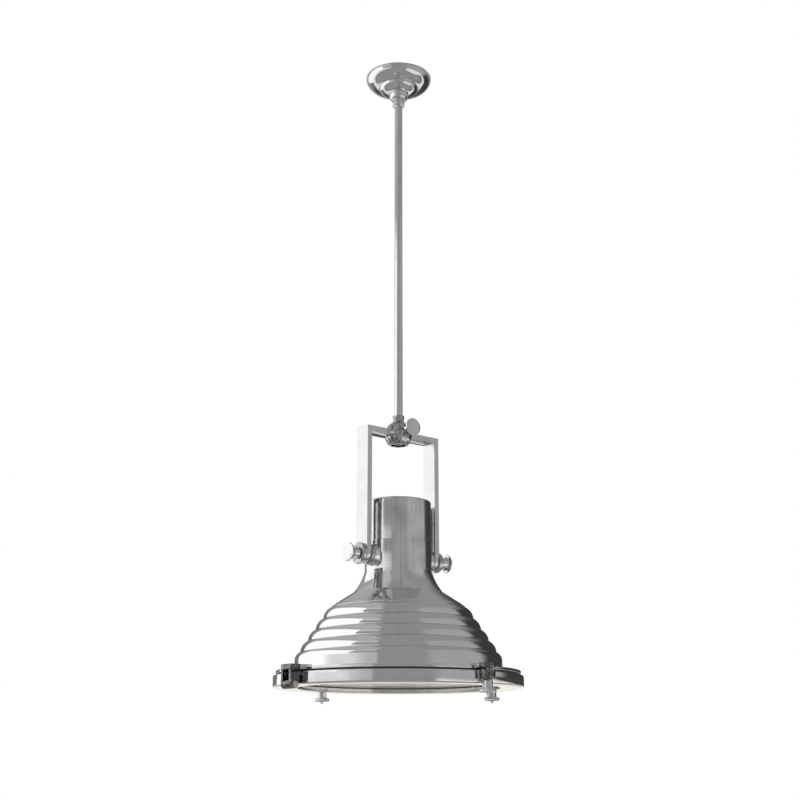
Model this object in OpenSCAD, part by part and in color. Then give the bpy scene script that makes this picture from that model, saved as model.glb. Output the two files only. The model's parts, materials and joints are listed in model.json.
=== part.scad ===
// Pendant light: a ribbed metal shade on a tilting yoke, hung from a rod and a ceiling canopy.
// The origin is the middle of the plate that goes against the ceiling. +Z is up; the yoke bar lies along X.

/* [Ceiling plate] */
// Length of the ceiling plate
strap_l = 110; // [100:1:118]
// Width of the ceiling plate
strap_w = 22; // [20:1:26]
// Thickness of the ceiling plate
strap_t = 2; // [1.5:0.5:3]
// Distance between the two fixing slots
slot_spacing = 70; // [64:1:76]
// Length of a fixing slot, end to end
slot_l = 14; // [10:1:16]
// Width of a fixing slot
slot_w = 5; // [4:0.5:6]

/* [Canopy] */
// Diameter of the canopy at the ceiling
canopy_d = 136; // [130:1:150]
// Depth of the canopy
canopy_h = 50; // [46:1:60]
// Sheet thickness of the canopy
canopy_wall = 1.2; // [0.8:0.1:2]
// Diameter of the collar under the canopy
collar_d = 25; // [22:0.5:30]
// Height of the collar under the canopy
collar_h = 14; // [12:0.5:18]

/* [Rod] */
// Outside diameter of the rod
rod_d = 16; // [15:0.5:18]
// Wall of the rod
rod_wall = 2; // [1.5:0.25:2.5]
// Length of rod that shows between the canopy collar and the hub
rod_drop = 674; // [300:1:1500]

/* [Swivel hub] */
// Diameter of the hub
hub_d = 53; // [50:0.5:60]
// Height of the hub above the yoke bar
hub_rise = 21; // [20:0.5:26]
// Depth of the hub cup under the yoke bar
hub_cup_h = 14; // [13:0.5:18]
// Diameter of the collar at the end of the rod
hub_collar_d = 23; // [22:0.5:26]
// Height of the collar at the end of the rod
hub_collar_h = 13; // [12:0.5:18]
// Diameter of the stem on which the hub turns
stem_d = 12; // [11:0.25:12.5]

/* [Yoke] */
// Width of the yoke strip
strip_w = 33.5; // [30:0.5:38]
// Thickness of the yoke strip
strip_t = 10.5; // [10:0.25:12]
// Wall of the hollow yoke strip
strip_wall = 2; // [1.5:0.25:2.5]
// Height of the yoke from its pivots to the top of its bar
yoke_drop = 243.5; // [220:0.5:280]

/* [Knobs] */
// Diameter of a tilt knob
tilt_knob_d = 35; // [30:1:40]
// Diameter of the pan knob
pan_knob_d = 34; // [30:1:38]
// Thickness of a knob's disc
knob_disc_t = 5.5; // [4:0.5:7]
// Length of a tilt knob's neck
tilt_neck_l = 20; // [16:1:24]
// Length of the pan knob's neck
pan_neck_l = 17; // [14:1:22]

/* [Pivots] */
// Diameter of the pivot bosses on the neck
boss_d = 40; // [36:1:44]
// How far the pivot bosses stand out from the neck
boss_rise = 7.8; // [6:0.2:12]
// Thickness of the friction bush between boss and yoke
bush_t = 7; // [5:0.5:8]
// Thickness of the pressure washer outside the yoke
pressure_t = 9.5; // [6:0.5:12]
// Diameter of the pivot sleeves
sleeve_d = 20; // [18:0.5:22]

/* [Neck and cap] */
// Diameter of the cap
cap_d = 124.4; // [122:0.2:125.4]
// Height of the cap
cap_h = 79.5; // [60:0.5:90]
// Wall of the cap
cap_wall = 2; // [1.5:0.25:3]
// How far the neck casting stands out past the cap
neck_step = 1; // [0.6:0.1:1.8]
// Height of the neck casting
neck_h = 55; // [52:0.5:64]
// Wall of the neck casting
neck_wall = 3.2; // [2.5:0.1:4]
// How far the pivots lie below the middle of the neck casting
pivot_drop = 0.5; // [0:0.1:2]

/* [Bell] */
// Height of the bell under the neck
bell_h = 39; // [34:0.5:46]
// Diameter of the bell at its foot
bell_d = 168; // [160:1:176]
// Wall of the bell
bell_wall = 2; // [1.5:0.25:3]

/* [Shade] */
// Diameter at the foot of the first rib
rib_first_d = 252; // [244:1:260]
// Growth of the radius over the last rib, down to the skirt
rib_last_step = 10.1; // [8:0.1:14]
// Height of one rib
rib_pitch = 20.5; // [18:0.5:23]
// Number of equal ribs under the first one
rib_count = 4; // [2:1:4]
// Diameter of the skirt
skirt_d = 382.6; // [380:0.2:386]
// Height of the straight skirt
skirt_h = 19.3; // [14:0.1:26]
// Sheet thickness of the shade
shade_wall = 1.5; // [1:0.1:2]

/* [Rim] */
// Width of the flange ring outside the skirt
flange_w = 33.7; // [30:0.1:38]
// Thickness of the flange ring
flange_t = 5.9; // [4.5:0.1:8]
// How far the bezel stands out past the flange ring
bezel_lip = 5; // [3:0.5:7]
// Width of the bezel's rim outside the lens ring
bezel_rim_w = 21; // [17:0.5:24]
// Height of the bezel
bezel_h = 21; // [19:0.5:26]
// Gap between bezel and flange ring
rim_gap = 3.3; // [2.5:0.1:4]
// Width of the ledge under the lens ring
ring_ledge_w = 7.5; // [6:0.5:10]
// How far the glass laps over its seat in the bezel
lens_lap = 14; // [10:0.5:20]
// Thickness of the glass
glass_t = 5; // [4:0.5:6]

/* [Rim fastenings] */
// Width of a lug
lug_w = 28; // [24:1:32]
// Distance from the bezel's edge out to the middle of a lug
lug_reach = 7; // [6:0.5:10]
// Distance from the bezel's edge out to the hinge pin
hinge_reach = 13; // [12:0.5:16]
// Height of a bezel lug
bezel_lug_h = 16.5; // [14:0.5:18]
// Height of a flange lug
flange_lug_h = 9; // [7:0.5:12]
// Diameter of a thumbscrew's disc
thumb_d = 30; // [26:1:34]
// Thickness of a thumbscrew's disc
thumb_t = 6.5; // [5:0.5:8]
// Diameter of a thumbscrew's neck
thumb_neck_d = 18; // [15:1:21]
// Distance from the underside of the lug to the disc
thumb_neck_l = 15; // [12:0.5:20]

/* [Lamp holder and bulb] */
// Diameter of the ceramic lamp holder
holder_d = 44; // [40:1:48]
// Height of the ceramic lamp holder
holder_h = 54; // [50:1:60]
// Diameter of the bulb
bulb_d = 60; // [55:1:70]
// Length of the bulb's glass
bulb_l = 104; // [96:1:110]

/* [Hidden] */

// fits and finish
run_gap = 0.05;
seat_gap = 0.3;
press_gap = 0.02;
cut = 1;
edge = 0.8;
round_fn = 96;
shell_fn = 180;
arc_steps = 10;
hex_sides = 6;

// colours as photographed
chrome_col = [0.72, 0.73, 0.75];
steel_col = [0.55, 0.56, 0.58];
brass_col = [0.78, 0.62, 0.3];
ceramic_col = [0.93, 0.92, 0.88];
enamel_col = [0.95, 0.92, 0.85];
rubber_col = [0.12, 0.12, 0.13];
glass_col = [0.93, 0.9, 0.84, 0.5];

// ceiling end
cable_d = 6;
coupler_wall = 1;
nipple_d = rod_d - 2 * (rod_wall + coupler_wall);
nipple_bore_play = 0.5;
nipple_bore_d = cable_d + nipple_bore_play;
locknut_af = 17;
locknut_t = 5;
hex_share = 1.1547;
rod_top_drop = 22;
nipple_grip = 12;
nipple_l = rod_top_drop + nipple_grip;
coupler_l = 16;
block_l = 30;
block_w = 15;
block_h = 12;
block_gap = 2.5;
pole_count = 3;
pole_screw_d = 3.2;
pole_play = 0.4;
pole_hole_d = pole_screw_d + pole_play;
pole_screw_l = 5;
pole_row = 9;
earth_head_d = 8;
earth_head_t = 2.5;
earth_d = 4;
earth_x = -19;

// canopy: three stepped tiers, given as shares of its radius and of its depth
canopy_r = canopy_d / 2;
tier_r_shares = [1, 0.6, 0.3, 0.19];
tier_z_shares = [0, 0.44, 0.69, 1];
collar_bead_h = 5;
collar_waist_d = 1.6;
grub_d = 4;

// hub and swivel, heights below the ceiling
rod_r = rod_d / 2;
rod_in_r = rod_r - rod_wall;
rod_end_z = -(canopy_h + collar_h + rod_drop);
collar_grip = 6;
hub_collar_z = rod_end_z - hub_collar_h;
bar_top_z = hub_collar_z - hub_rise;
bar_low_z = bar_top_z - strip_t;
hub_r = hub_d / 2;
hub_mid_z = bar_top_z - strip_t / 2;
stem_r = stem_d / 2;
stem_bore_play = 1;
stem_bore_d = cable_d + stem_bore_play;
stem_grip = 24;
lead_d = 4;
window_play = 1;
stem_window = lead_d + window_play;
stop_pin_d = 3;
stop_pin_l = 5;
stop_groove_w = 3.4;
stop_groove_h = 4;
stop_drop = 7;
stop_lug_w = 1.5;
swivel_washer_d = 24;
swivel_washer_t = 2;
cup_bore_play = 4;
cup_bore_d = swivel_washer_d + cup_bore_play;
cup_rim_w = 3.5;
cup_floor_t = 2;
slot_play = 0.1;
swivel_nut_af = 19;
swivel_nut_t = 7;
stem_tail = 1.5;
pan_knob_rise = 4;
pan_screw_d = 5;
pan_base_d = 14;
pan_waist_d = 11.5;

// yoke and pivots
cap_r = cap_d / 2;
neck_r = cap_r + neck_step;
boss_face = neck_r + boss_rise;
leg_in = boss_face + bush_t;
yoke_r = leg_in + strip_t;
pivot_z = bar_top_z - yoke_drop;
knob_seat = yoke_r + pressure_t;
sleeve_r = sleeve_d / 2;
sleeve_bore_d = 8;
sleeve_window = lead_d + window_play;
sleeve_set_back = 1;
tilt_screw_l = 8;
tilt_base_d = 22;
tilt_waist_d = 19;
pressure_edge = 2;
knob_flare_share = 0.78;
knob_dome = 2.2;

// lamp head, heights above the foot of the bezel
flange_z = bezel_h + rim_gap;
skirt_z = flange_z + flange_t;
last_rib_z = skirt_z + skirt_h;
last_rib_h = 14;
ribs_low_z = last_rib_z + last_rib_h;
ribs_top_z = ribs_low_z + rib_count * rib_pitch;
first_rib_h = 11;
shoulder_z = ribs_top_z + first_rib_h;
shoulder_h = 18;
bell_z = shoulder_z + shoulder_h;
neck_z = bell_z + bell_h;
cap_z = neck_z + neck_h;
pivot_h = neck_z + neck_h / 2 - pivot_drop;
foot_z = pivot_z - pivot_h;
shoulder_run = 14;
shoulder_foot = 2;
rib_first_r = rib_first_d / 2;
skirt_r = skirt_d / 2;
rib_step = (skirt_r - rib_last_step - rib_first_r) / rib_count;
bell_r = bell_d / 2;
neck_in_r = neck_r - neck_wall;
cap_in_r = cap_r - cap_wall;
cap_edge = 4;
spigot_h = 8;
spigot_wall = 2.6;
bell_bow = 2.2;
bell_step = 0.5;
bell_top_r = neck_r + bell_step;
bell_foot_w = 12;
shade_hole_lap = 14;
shade_hole_r = bell_r - shade_hole_lap;
bell_flange_r = bell_r - bell_foot_w;
bell_screw_d = 4;
bell_screw_head_d = 7;
bell_screw_head_t = 2.2;
bell_screw_count = 4;
bell_screw_turn = 45;
slot_count = 3;
seam_slot_w = 7;
seam_slot_h = 4;
seam_slot_turn = -74;
cap_pin_d = 2.6;

// lamp holder and bulb
ledge_w = 6;
ledge_t = 5;
ledge_root_h = 6;
ledge_drop = 14;
plate_t = 2;
plate_z = cap_z - ledge_drop;
plate_play = 0.4;
plate_screw_d = 3;
plate_screw_l = 4;
plate_screw_head_d = 5.6;
plate_screw_head_t = 2;
plate_hole_play = 4;
plate_hole_d = lead_d + plate_hole_play;
holder_nipple_top = 12;
holder_nipple_low = 8;
holder_r = holder_d / 2;
holder_shoulder = 8;
holder_wall = 3.5;
holder_floor = 18;
holder_seat_gap = 0.4;
bulb_cap_d = 26.2;
shell_play = 1;
shell_in_d = bulb_cap_d + shell_play;
shell_wall = 0.8;
shell_l = 28;
shell_lip_t = 1.5;
contact_d = 8;
contact_t = 1.5;
bulb_cap_l = 24;
bulb_tip_d = 9;
bulb_tip_l = 3;
bulb_play = 0.3;
bulb_neck_share = 0.42;

// reflector
reflector_wall = 1;
reflector_hole_r = 52;
reflector_lip_gap = 0.5;
reflector_top_gap = 18.3;
reflector_rise = bell_z - skirt_z - reflector_top_gap;
reflector_bulge_share = 0.5;
reflector_steps = 24;

// rim pieces
flange_r = skirt_r + flange_w;
bezel_r = flange_r + bezel_lip;
bezel_in_r = bezel_r - bezel_rim_w;
shoulder_r = bezel_in_r - ring_ledge_w;
glass_side_gap = 1.5;
glass_r = shoulder_r - glass_side_gap;
lens_open_r = glass_r - lens_lap;
flange_lap = 13.3;
flange_in_r = skirt_r - flange_lap;
shade_lip_w = 8;
flange_screw_d = 4;
flange_screw_head_d = 7;
flange_screw_head_t = 2.2;
flange_screw_count = 6;
flange_screw_turn = 15;
gasket_inset = 3;
gasket_w = 11;
gasket_out_r = flange_r - gasket_inset;
gasket_in_r = gasket_out_r - gasket_w;
seat_z = 8;
glass_play = 0.5;
lens_gasket_t = 1.5;
ring_lap = 4;
lens_ring_in_r = glass_r - ring_lap;
lens_ring_t = 2.5;
ring_screw_d = 3;
ring_screw_l = 7;
ring_screw_head_d = 5.6;
ring_screw_head_t = 2;
ring_screw_count = 6;
ring_screw_turn = 30;
ring_screw_r = (shoulder_r + bezel_in_r) / 2;
glass_z = seat_z + lens_gasket_t;
lens_ring_z = glass_z + glass_t;

// rim fastenings: three thumbscrews and one hinge
lug_r = bezel_r + lug_reach;
lug_rise = 1.4;
lug_z = bezel_h + lug_rise - bezel_lug_h;
screw_turns = [-90, 0, 90];
thumb_screw_d = 8;
thumb_tip_d = 7;
thumb_tip_gap = 1.5;
thumb_tip_l = 7;
thumb_stud_d = 6;
thumb_stud_l = 4.5;
thumb_scallops = 18;
thumb_scallop_d = 2.4;
ring_bore_depth = 2;
ring_outer_d = 13;
ring_t = 1.2;
ring_play = 1;
ring_recess_d = ring_outer_d + ring_play;
hinge_r = bezel_r + hinge_reach;
hinge_pin_d = 6;
hinge_pin_head_d = 10;
hinge_pin_head_t = 2.5;
knuckle_d = 17;
knuckle_w = 18;
cheek_t = 5.5;
cheek_gap = 0.4;
cheek_in = 10;
cheek_y = knuckle_w / 2 + cheek_gap;
axis_x = -hinge_r;
web_h = 15;
bracket_in = 16;

// wiring
cable_sides = 12;
lead_bend_r = 6;
lead_start_bend_r = 5.5;
lead_play = 0.3;
nipple_window_play = 0.2;
nipple_window_w = cable_d + nipple_window_play;
head_lead_x = -38;
head_lead_top = 8;

// A convex rib from p to q that ends upright at q; the outer line leaves p to the piece before
function rib_arc(p, q, inset = 0) =
  let (run = q[0] - p[0], fall = p[1] - q[1], rad = (run * run + fall * fall) / (2 * run),
       start = acos(1 - run / rad))
  [for (i = [inset > 0 ? 0 : 1 : arc_steps]) let (a = start * (1 - i / arc_steps))
    [q[0] - rad + (rad - inset) * cos(a), q[1] + (rad - inset) * sin(a)]];

// A convex tier of the canopy from p to q that starts upright at p and ends level at q
function tier_arc(p, q, inset = 0) =
  let (run = p[0] - q[0], fall = p[1] - q[1])
  [for (i = [inset > 0 ? 0 : 1 : arc_steps]) let (a = 90 * i / arc_steps)
    [q[0] + (run - inset) * cos(a), p[1] - (fall - inset) * sin(a)]];

// The rounded shoulder of the shade: it leaves p along its cone, turns at c and ends upright at q
function shoulder_arc(p, c, q) = [for (i = [0 : arc_steps]) let (s = i / arc_steps)
  (1 - s) * (1 - s) * p + 2 * s * (1 - s) * c + s * s * q];

// The feet of the ribs, from the first rib down to the skirt
function rib_feet() = concat(
  [for (i = [0 : rib_count]) [rib_first_r + i * rib_step, ribs_top_z - i * rib_pitch]],
  [[skirt_r, last_rib_z]]);

// The shade's profile, moved inwards by inset
function shade_line(inset) =
  let (feet = rib_feet(), run = rib_first_r - shoulder_run - bell_r,
       slope = norm([run, shoulder_h]), low = inset * run / slope, in = inset * shoulder_h / slope)
  concat([[shade_hole_r, bell_z - inset], [bell_r - in / 2, bell_z - inset]],
    shoulder_arc([rib_first_r - shoulder_run - in, shoulder_z - low],
      [rib_first_r - inset, ribs_top_z + shoulder_foot - low], feet[0] - [inset, 0]),
    [for (i = [1 : len(feet) - 1]) each rib_arc(feet[i - 1], feet[i], inset)],
    [[skirt_r - inset, skirt_z + inset]]);

// The bell's profile: a straight flare drawn slightly inwards
function bell_line(inset) = [for (i = [0 : arc_steps]) let (s = i / arc_steps)
  [bell_top_r + (bell_r - bell_top_r) * s - inset - bell_bow * 4 * s * (1 - s),
   neck_z - bell_h * s - bell_bow * 2 * s * (1 - s)]];

// The hub's profile, a rounded body that is cut flat at the yoke bar
function hub_point(r, rise) = [r, rise * sqrt(1 - r * r / (hub_r * hub_r))];

module tube(r, bore, h) {
  difference() {
    cylinder(r = r, h = h, $fn = round_fn);
    translate([0, 0, -cut]) cylinder(r = bore, h = h + 2 * cut, $fn = round_fn);
  }
}

// Places the lamp head: its heights are measured from the foot of the bezel
module head() { translate([0, 0, foot_z]) children(); }

// Places a piece of a pivot, measured outwards from the lamp's axis
module pivot(side) { translate([0, 0, pivot_z]) rotate([0, side * 90, 0]) children(); }

module stadium(l, w) {
  square([l - w, w], center = true);
  for (s = [-1, 1]) translate([s * (l - w) / 2, 0]) circle(d = w, $fn = round_fn);
}

module hex_nut(af, t, bore) {
  difference() {
    cylinder(d = af * hex_share, h = t, $fn = hex_sides);
    translate([0, 0, -cut]) cylinder(r = bore, h = t + 2 * cut, $fn = round_fn);
  }
}

// A knob: its seat is at zero, its neck and domed disc point up and its screw points down
module knob(disc_d, neck_l, base_d, waist_d, screw_d, screw_l) {
  disc_r = disc_d / 2;
  rotate_extrude($fn = round_fn)
    polygon(concat([[0, 0], [base_d / 2, 0]],
      [for (i = [1 : arc_steps]) let (s = i / arc_steps)
        [waist_d / 2 + (base_d - waist_d) / 2 * pow(1 - s, 3)
          + (disc_r * knob_flare_share - waist_d / 2) * pow(s, 4), neck_l * s]],
      [[disc_r - edge, neck_l], [disc_r, neck_l + edge], [disc_r, neck_l + knob_disc_t - knob_dome]],
      [for (i = [1 : arc_steps]) let (s = 1 - i / arc_steps)
        [disc_r * s, neck_l + knob_disc_t - knob_dome * s * s]]));
  translate([0, 0, -screw_l]) cylinder(d = screw_d, h = screw_l + edge, $fn = round_fn);
}

module ceiling_plate() {
  color(steel_col) translate([0, 0, -strap_t]) linear_extrude(strap_t) difference() {
    stadium(strap_l, strap_w);
    for (s = [-1, 1]) translate([s * slot_spacing / 2, 0]) stadium(slot_l, slot_w);
    circle(d = nipple_d + 2 * press_gap, $fn = round_fn);
    translate([earth_x, 0]) circle(d = earth_d + 2 * press_gap, $fn = round_fn);
  }
}

module hanger_nipple() {
  high = -strap_t - locknut_t - seat_gap;
  low = lead_z() - lead_start_bend_r;
  color(brass_col) difference() {
    translate([0, 0, -nipple_l]) tube(nipple_d / 2, nipple_bore_d / 2, nipple_l);
    translate([0, -nipple_window_w / 2, low]) cube([nipple_d, nipple_window_w, high - low]);
  }
}

// Height at which the supply lead leaves the terminal block
function lead_z() = -strap_t - locknut_t - cable_d / 2 - 2 * seat_gap;

module nipple_locknut() {
  color(steel_col) translate([0, 0, -strap_t - locknut_t])
    hex_nut(locknut_af, locknut_t, nipple_d / 2 + press_gap);
}

module at_poles() {
  for (i = [0 : pole_count - 1], s = [-1, 1])
    translate([block_x() + s * block_w / 4, (i - (pole_count - 1) / 2) * pole_row, 0]) children();
}

function block_x() = locknut_af * hex_share / 2 + block_gap + block_w / 2;

module terminal_block() {
  color(ceramic_col) difference() {
    translate([block_x() - block_w / 2, -block_l / 2, -strap_t - block_h])
      cube([block_w, block_l, block_h]);
    at_poles() translate([0, 0, -strap_t - block_h - cut])
      cylinder(d = pole_hole_d, h = pole_screw_l + cut, $fn = round_fn);
    for (i = [0 : pole_count - 1])
      translate([block_x() - block_w, (i - (pole_count - 1) / 2) * pole_row, -strap_t - block_h / 3])
        rotate([0, 90, 0]) cylinder(d = pole_hole_d, h = 2 * block_w, $fn = round_fn);
    translate([block_x() - block_w / 2 - cut, 0, lead_z()]) rotate([0, 90, 0])
      cylinder(r = cable_d / 2 + run_gap, h = cut + edge, $fn = round_fn);
  }
}

module terminal_screws() {
  color(brass_col) at_poles() translate([0, 0, -strap_t - block_h + edge])
    cylinder(d = pole_screw_d, h = pole_screw_l - edge, $fn = round_fn);
}

module earth_screw() {
  color(brass_col) translate([earth_x, 0, 0]) {
    translate([0, 0, -strap_t]) cylinder(d = earth_d, h = strap_t, $fn = round_fn);
    translate([0, 0, -strap_t - earth_head_t]) cylinder(d = earth_head_d, h = earth_head_t, $fn = round_fn);
  }
}

function tier_point(i) = [canopy_r * tier_r_shares[i], -canopy_h * tier_z_shares[i]];

function canopy_line(inset) = concat(inset > 0 ? [] : [tier_point(0)],
  [for (i = [0 : len(tier_r_shares) - 2]) each tier_arc(tier_point(i), tier_point(i + 1), inset)]);

module canopy() {
  inner = canopy_line(canopy_wall);
  hole_r = rod_r + seat_gap;
  color(chrome_col) rotate_extrude($fn = shell_fn)
    polygon(concat(canopy_line(0), [[hole_r, -canopy_h], [hole_r, -canopy_h + canopy_wall]],
      [for (i = [len(inner) - 1 : -1 : 0]) inner[i]]));
}

module canopy_collar() {
  r = collar_d / 2;
  bead_z = -canopy_h - collar_h + collar_bead_h;
  color(chrome_col) difference() {
    rotate_extrude($fn = round_fn) polygon([[rod_r + run_gap, -canopy_h], [r - edge, -canopy_h],
      [r, -canopy_h - edge], [r, bead_z + edge], [r - collar_waist_d / 2, bead_z],
      [r, bead_z - edge], [r, -canopy_h - collar_h + 2 * edge],
      [r - 2 * edge, -canopy_h - collar_h], [rod_r + run_gap, -canopy_h - collar_h]]);
    translate([0, rod_r, -canopy_h - (collar_h - collar_bead_h) / 2]) rotate([-90, 0, 0])
      cylinder(d = grub_d + 2 * press_gap, h = r, $fn = round_fn);
  }
}

module collar_grub_screw() {
  color(steel_col) translate([0, rod_r + run_gap, -canopy_h - (collar_h - collar_bead_h) / 2])
    rotate([-90, 0, 0]) cylinder(d = grub_d, h = collar_d / 2 - rod_r - 2 * run_gap, $fn = round_fn);
}

module rod() {
  rod_low_z = rod_end_z - collar_grip;
  color(chrome_col) translate([0, 0, rod_low_z])
    tube(rod_r, rod_in_r, -rod_top_drop - rod_low_z);
}

module rod_coupler() {
  color(steel_col) translate([0, 0, -rod_top_drop - coupler_l])
    tube(rod_in_r - press_gap, nipple_d / 2 + press_gap, coupler_l);
}

module rod_end_collar() {
  color(chrome_col) difference() {
    translate([0, 0, hub_collar_z]) rotate_extrude($fn = round_fn)
      polygon([[stem_r + press_gap, 0], [hub_collar_d / 2, 0], [hub_collar_d / 2, hub_collar_h - edge],
        [hub_collar_d / 2 - edge, hub_collar_h], [stem_r + press_gap, hub_collar_h]]);
    translate([0, 0, rod_end_z - collar_grip])
      cylinder(r = rod_r + press_gap, h = collar_grip + cut, $fn = round_fn);
  }
}

module swivel_stem() {
  low_z = washer_z - swivel_nut_t - stem_tail;
  step_z = rod_end_z - collar_grip;
  color(steel_col) difference() {
    union() {
      translate([0, 0, low_z]) cylinder(r = stem_r, h = step_z - low_z, $fn = round_fn);
      translate([0, 0, step_z])
        cylinder(r = min(stem_r, rod_in_r) - press_gap, h = stem_grip, $fn = round_fn);
    }
    translate([0, 0, low_z - cut])
      cylinder(d = stem_bore_d, h = step_z - low_z + stem_grip + 2 * cut, $fn = round_fn);
    translate([-stem_d, -stem_window / 2, hub_mid_z - stem_window / 2])
      cube([2 * stem_d, stem_window, stem_window]);
    translate([0, stem_bore_d / 2 - cut, stop_z()]) rotate([-90, 0, 0])
      cylinder(d = stop_pin_d + 2 * press_gap, h = stem_d, $fn = round_fn);
  }
}

function stop_z() = hub_collar_z - stop_drop;

module stop_pin() {
  color(steel_col) translate([0, stem_bore_d / 2, stop_z()]) rotate([-90, 0, 0])
    cylinder(d = stop_pin_d, h = stop_pin_l, $fn = round_fn);
}

// The height that the hub's round would reach on its axis, and its radius at a height
function hub_rise_full() = (hub_rise + strip_t / 2) / sqrt(1 - pow(hub_collar_d / hub_d, 2));
function hub_radius(h) = hub_r * sqrt(1 - pow(h / hub_rise_full(), 2));

module hub_upper() {
  bore = stem_r + run_gap;
  color(chrome_col) difference() {
    translate([0, 0, hub_mid_z]) rotate_extrude($fn = round_fn)
      polygon(concat([[bore, -strip_t / 2], [hub_radius(strip_t / 2), -strip_t / 2], [hub_r, 0]],
        [for (i = [1 : 2 * arc_steps])
          hub_point(hub_r + (hub_collar_d / 2 - hub_r) * i / (2 * arc_steps), hub_rise_full())],
        [[bore, hub_rise + strip_t / 2]]));
    translate([-hub_d, -strip_w / 2 - slot_play, bar_low_z - cut])
      cube([2 * hub_d, strip_w + 2 * slot_play, strip_t + cut]);
    difference() {
      translate([0, 0, stop_z() - stop_groove_h / 2])
        tube(stem_r + stop_groove_w, bore - cut, stop_groove_h);
      translate([-stop_lug_w / 2, -stem_d, stop_z() - stop_groove_h])
        cube([stop_lug_w, stem_d, 2 * stop_groove_h]);
    }
    translate([0, 0, bar_top_z + pan_knob_rise]) rotate([90, 0, 0]) {
      cylinder(d = pan_screw_d + 2 * run_gap, h = hub_d, $fn = round_fn);
      translate([0, 0, pan_seat()]) cylinder(d = pan_base_d + 4 * seat_gap, h = hub_d, $fn = round_fn);
    }
  }
}

// Distance from the axis to the flat on the hub where the pan knob seats
function pan_seat() = hub_radius(strip_t / 2 + pan_knob_rise);

module hub_cup() {
  low = strip_t / 2;
  rim_r = cup_bore_d / 2 + cup_rim_w;
  full = (hub_cup_h + low) / sqrt(1 - pow(rim_r / hub_r, 2));
  top_r = hub_r * sqrt(1 - pow(low / full, 2));
  color(chrome_col) translate([0, 0, hub_mid_z]) mirror([0, 0, 1]) rotate_extrude($fn = round_fn)
    polygon(concat([[stem_r + run_gap, low]],
      [for (i = [0 : 2 * arc_steps]) hub_point(top_r + (rim_r - top_r) * i / (2 * arc_steps), full)],
      [[cup_bore_d / 2, hub_cup_h + low], [cup_bore_d / 2, low + cup_floor_t],
       [stem_r + run_gap, low + cup_floor_t]]));
}

washer_z = bar_low_z - cup_floor_t - swivel_washer_t;

module swivel_washer() {
  color(steel_col) translate([0, 0, washer_z])
    tube(swivel_washer_d / 2, stem_r + run_gap, swivel_washer_t);
}

module swivel_nut() {
  color(steel_col) translate([0, 0, washer_z - swivel_nut_t])
    hex_nut(swivel_nut_af, swivel_nut_t, stem_r + press_gap);
}

module pan_knob() {
  color(chrome_col) translate([0, -pan_seat() - seat_gap, bar_top_z + pan_knob_rise]) rotate([90, 0, 0])
    knob(pan_knob_d, pan_neck_l, pan_base_d, pan_waist_d, pan_screw_d, pan_seat() - stem_r);
}

// The yoke's outline at a distance inside its surface
module yoke_body(inset) {
  w = strip_w - 2 * inset;
  translate([-yoke_r + inset, -w / 2, bar_low_z + inset])
    cube([2 * (yoke_r - inset), w, strip_t - 2 * inset]);
  for (s = [-1, 1]) {
    translate([s * (yoke_r - strip_t / 2) - (strip_t / 2 - inset), -w / 2, pivot_z])
      cube([strip_t - 2 * inset, w, yoke_drop - inset]);
    pivot(s) translate([0, 0, leg_in + inset])
      cylinder(d = w, h = strip_t - 2 * inset, $fn = round_fn);
  }
}

module yoke() {
  color(chrome_col) difference() {
    yoke_body(0);
    yoke_body(strip_wall);
    translate([0, 0, bar_low_z - cut])
      cylinder(r = stem_r + run_gap, h = strip_t + 2 * cut, $fn = round_fn);
    for (s = [-1, 1]) pivot(s) translate([0, 0, leg_in - cut])
      cylinder(r = sleeve_r + run_gap, h = strip_t + 2 * cut, $fn = round_fn);
  }
}

module friction_bush(side) {
  color(steel_col) pivot(side) translate([0, 0, boss_face])
    tube(boss_d / 2 - edge, sleeve_r + press_gap, bush_t - seat_gap);
}

module left_friction_bush() { friction_bush(-1); }
module right_friction_bush() { friction_bush(1); }

module pressure_washer(side) {
  color(chrome_col) pivot(side) translate([0, 0, yoke_r]) rotate_extrude($fn = round_fn)
    polygon([[sleeve_r + run_gap, 0], [boss_d / 2, 0], [boss_d / 2, pressure_t - pressure_edge],
      [boss_d / 2 - pressure_edge / 3, pressure_t - pressure_edge / 3],
      [boss_d / 2 - pressure_edge, pressure_t], [sleeve_r + run_gap, pressure_t]]);
}

module left_pressure_washer() { pressure_washer(-1); }
module right_pressure_washer() { pressure_washer(1); }

module pivot_sleeve(side) {
  low = neck_in_r - 2 * edge;
  color(steel_col) difference() {
    pivot(side) translate([0, 0, low])
      tube(sleeve_r, sleeve_bore_d / 2, knob_seat - sleeve_set_back - low);
    translate([side * (yoke_r - strip_t / 2) - sleeve_window / 2, -sleeve_window / 2, pivot_z])
      cube([sleeve_window, sleeve_window, sleeve_d]);
  }
}

module left_pivot_sleeve() { pivot_sleeve(-1); }
module right_pivot_sleeve() { pivot_sleeve(1); }

module tilt_knob(side) {
  color(chrome_col) pivot(side) translate([0, 0, knob_seat + seat_gap])
    knob(tilt_knob_d, tilt_neck_l, tilt_base_d, tilt_waist_d, sleeve_bore_d - 2 * run_gap, tilt_screw_l);
}

module left_tilt_knob() { tilt_knob(-1); }
module right_tilt_knob() { tilt_knob(1); }

module at_seam_slots() {
  for (i = [0 : slot_count - 1]) rotate([0, 0, seam_slot_turn + i * 360 / slot_count]) children();
}

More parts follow.
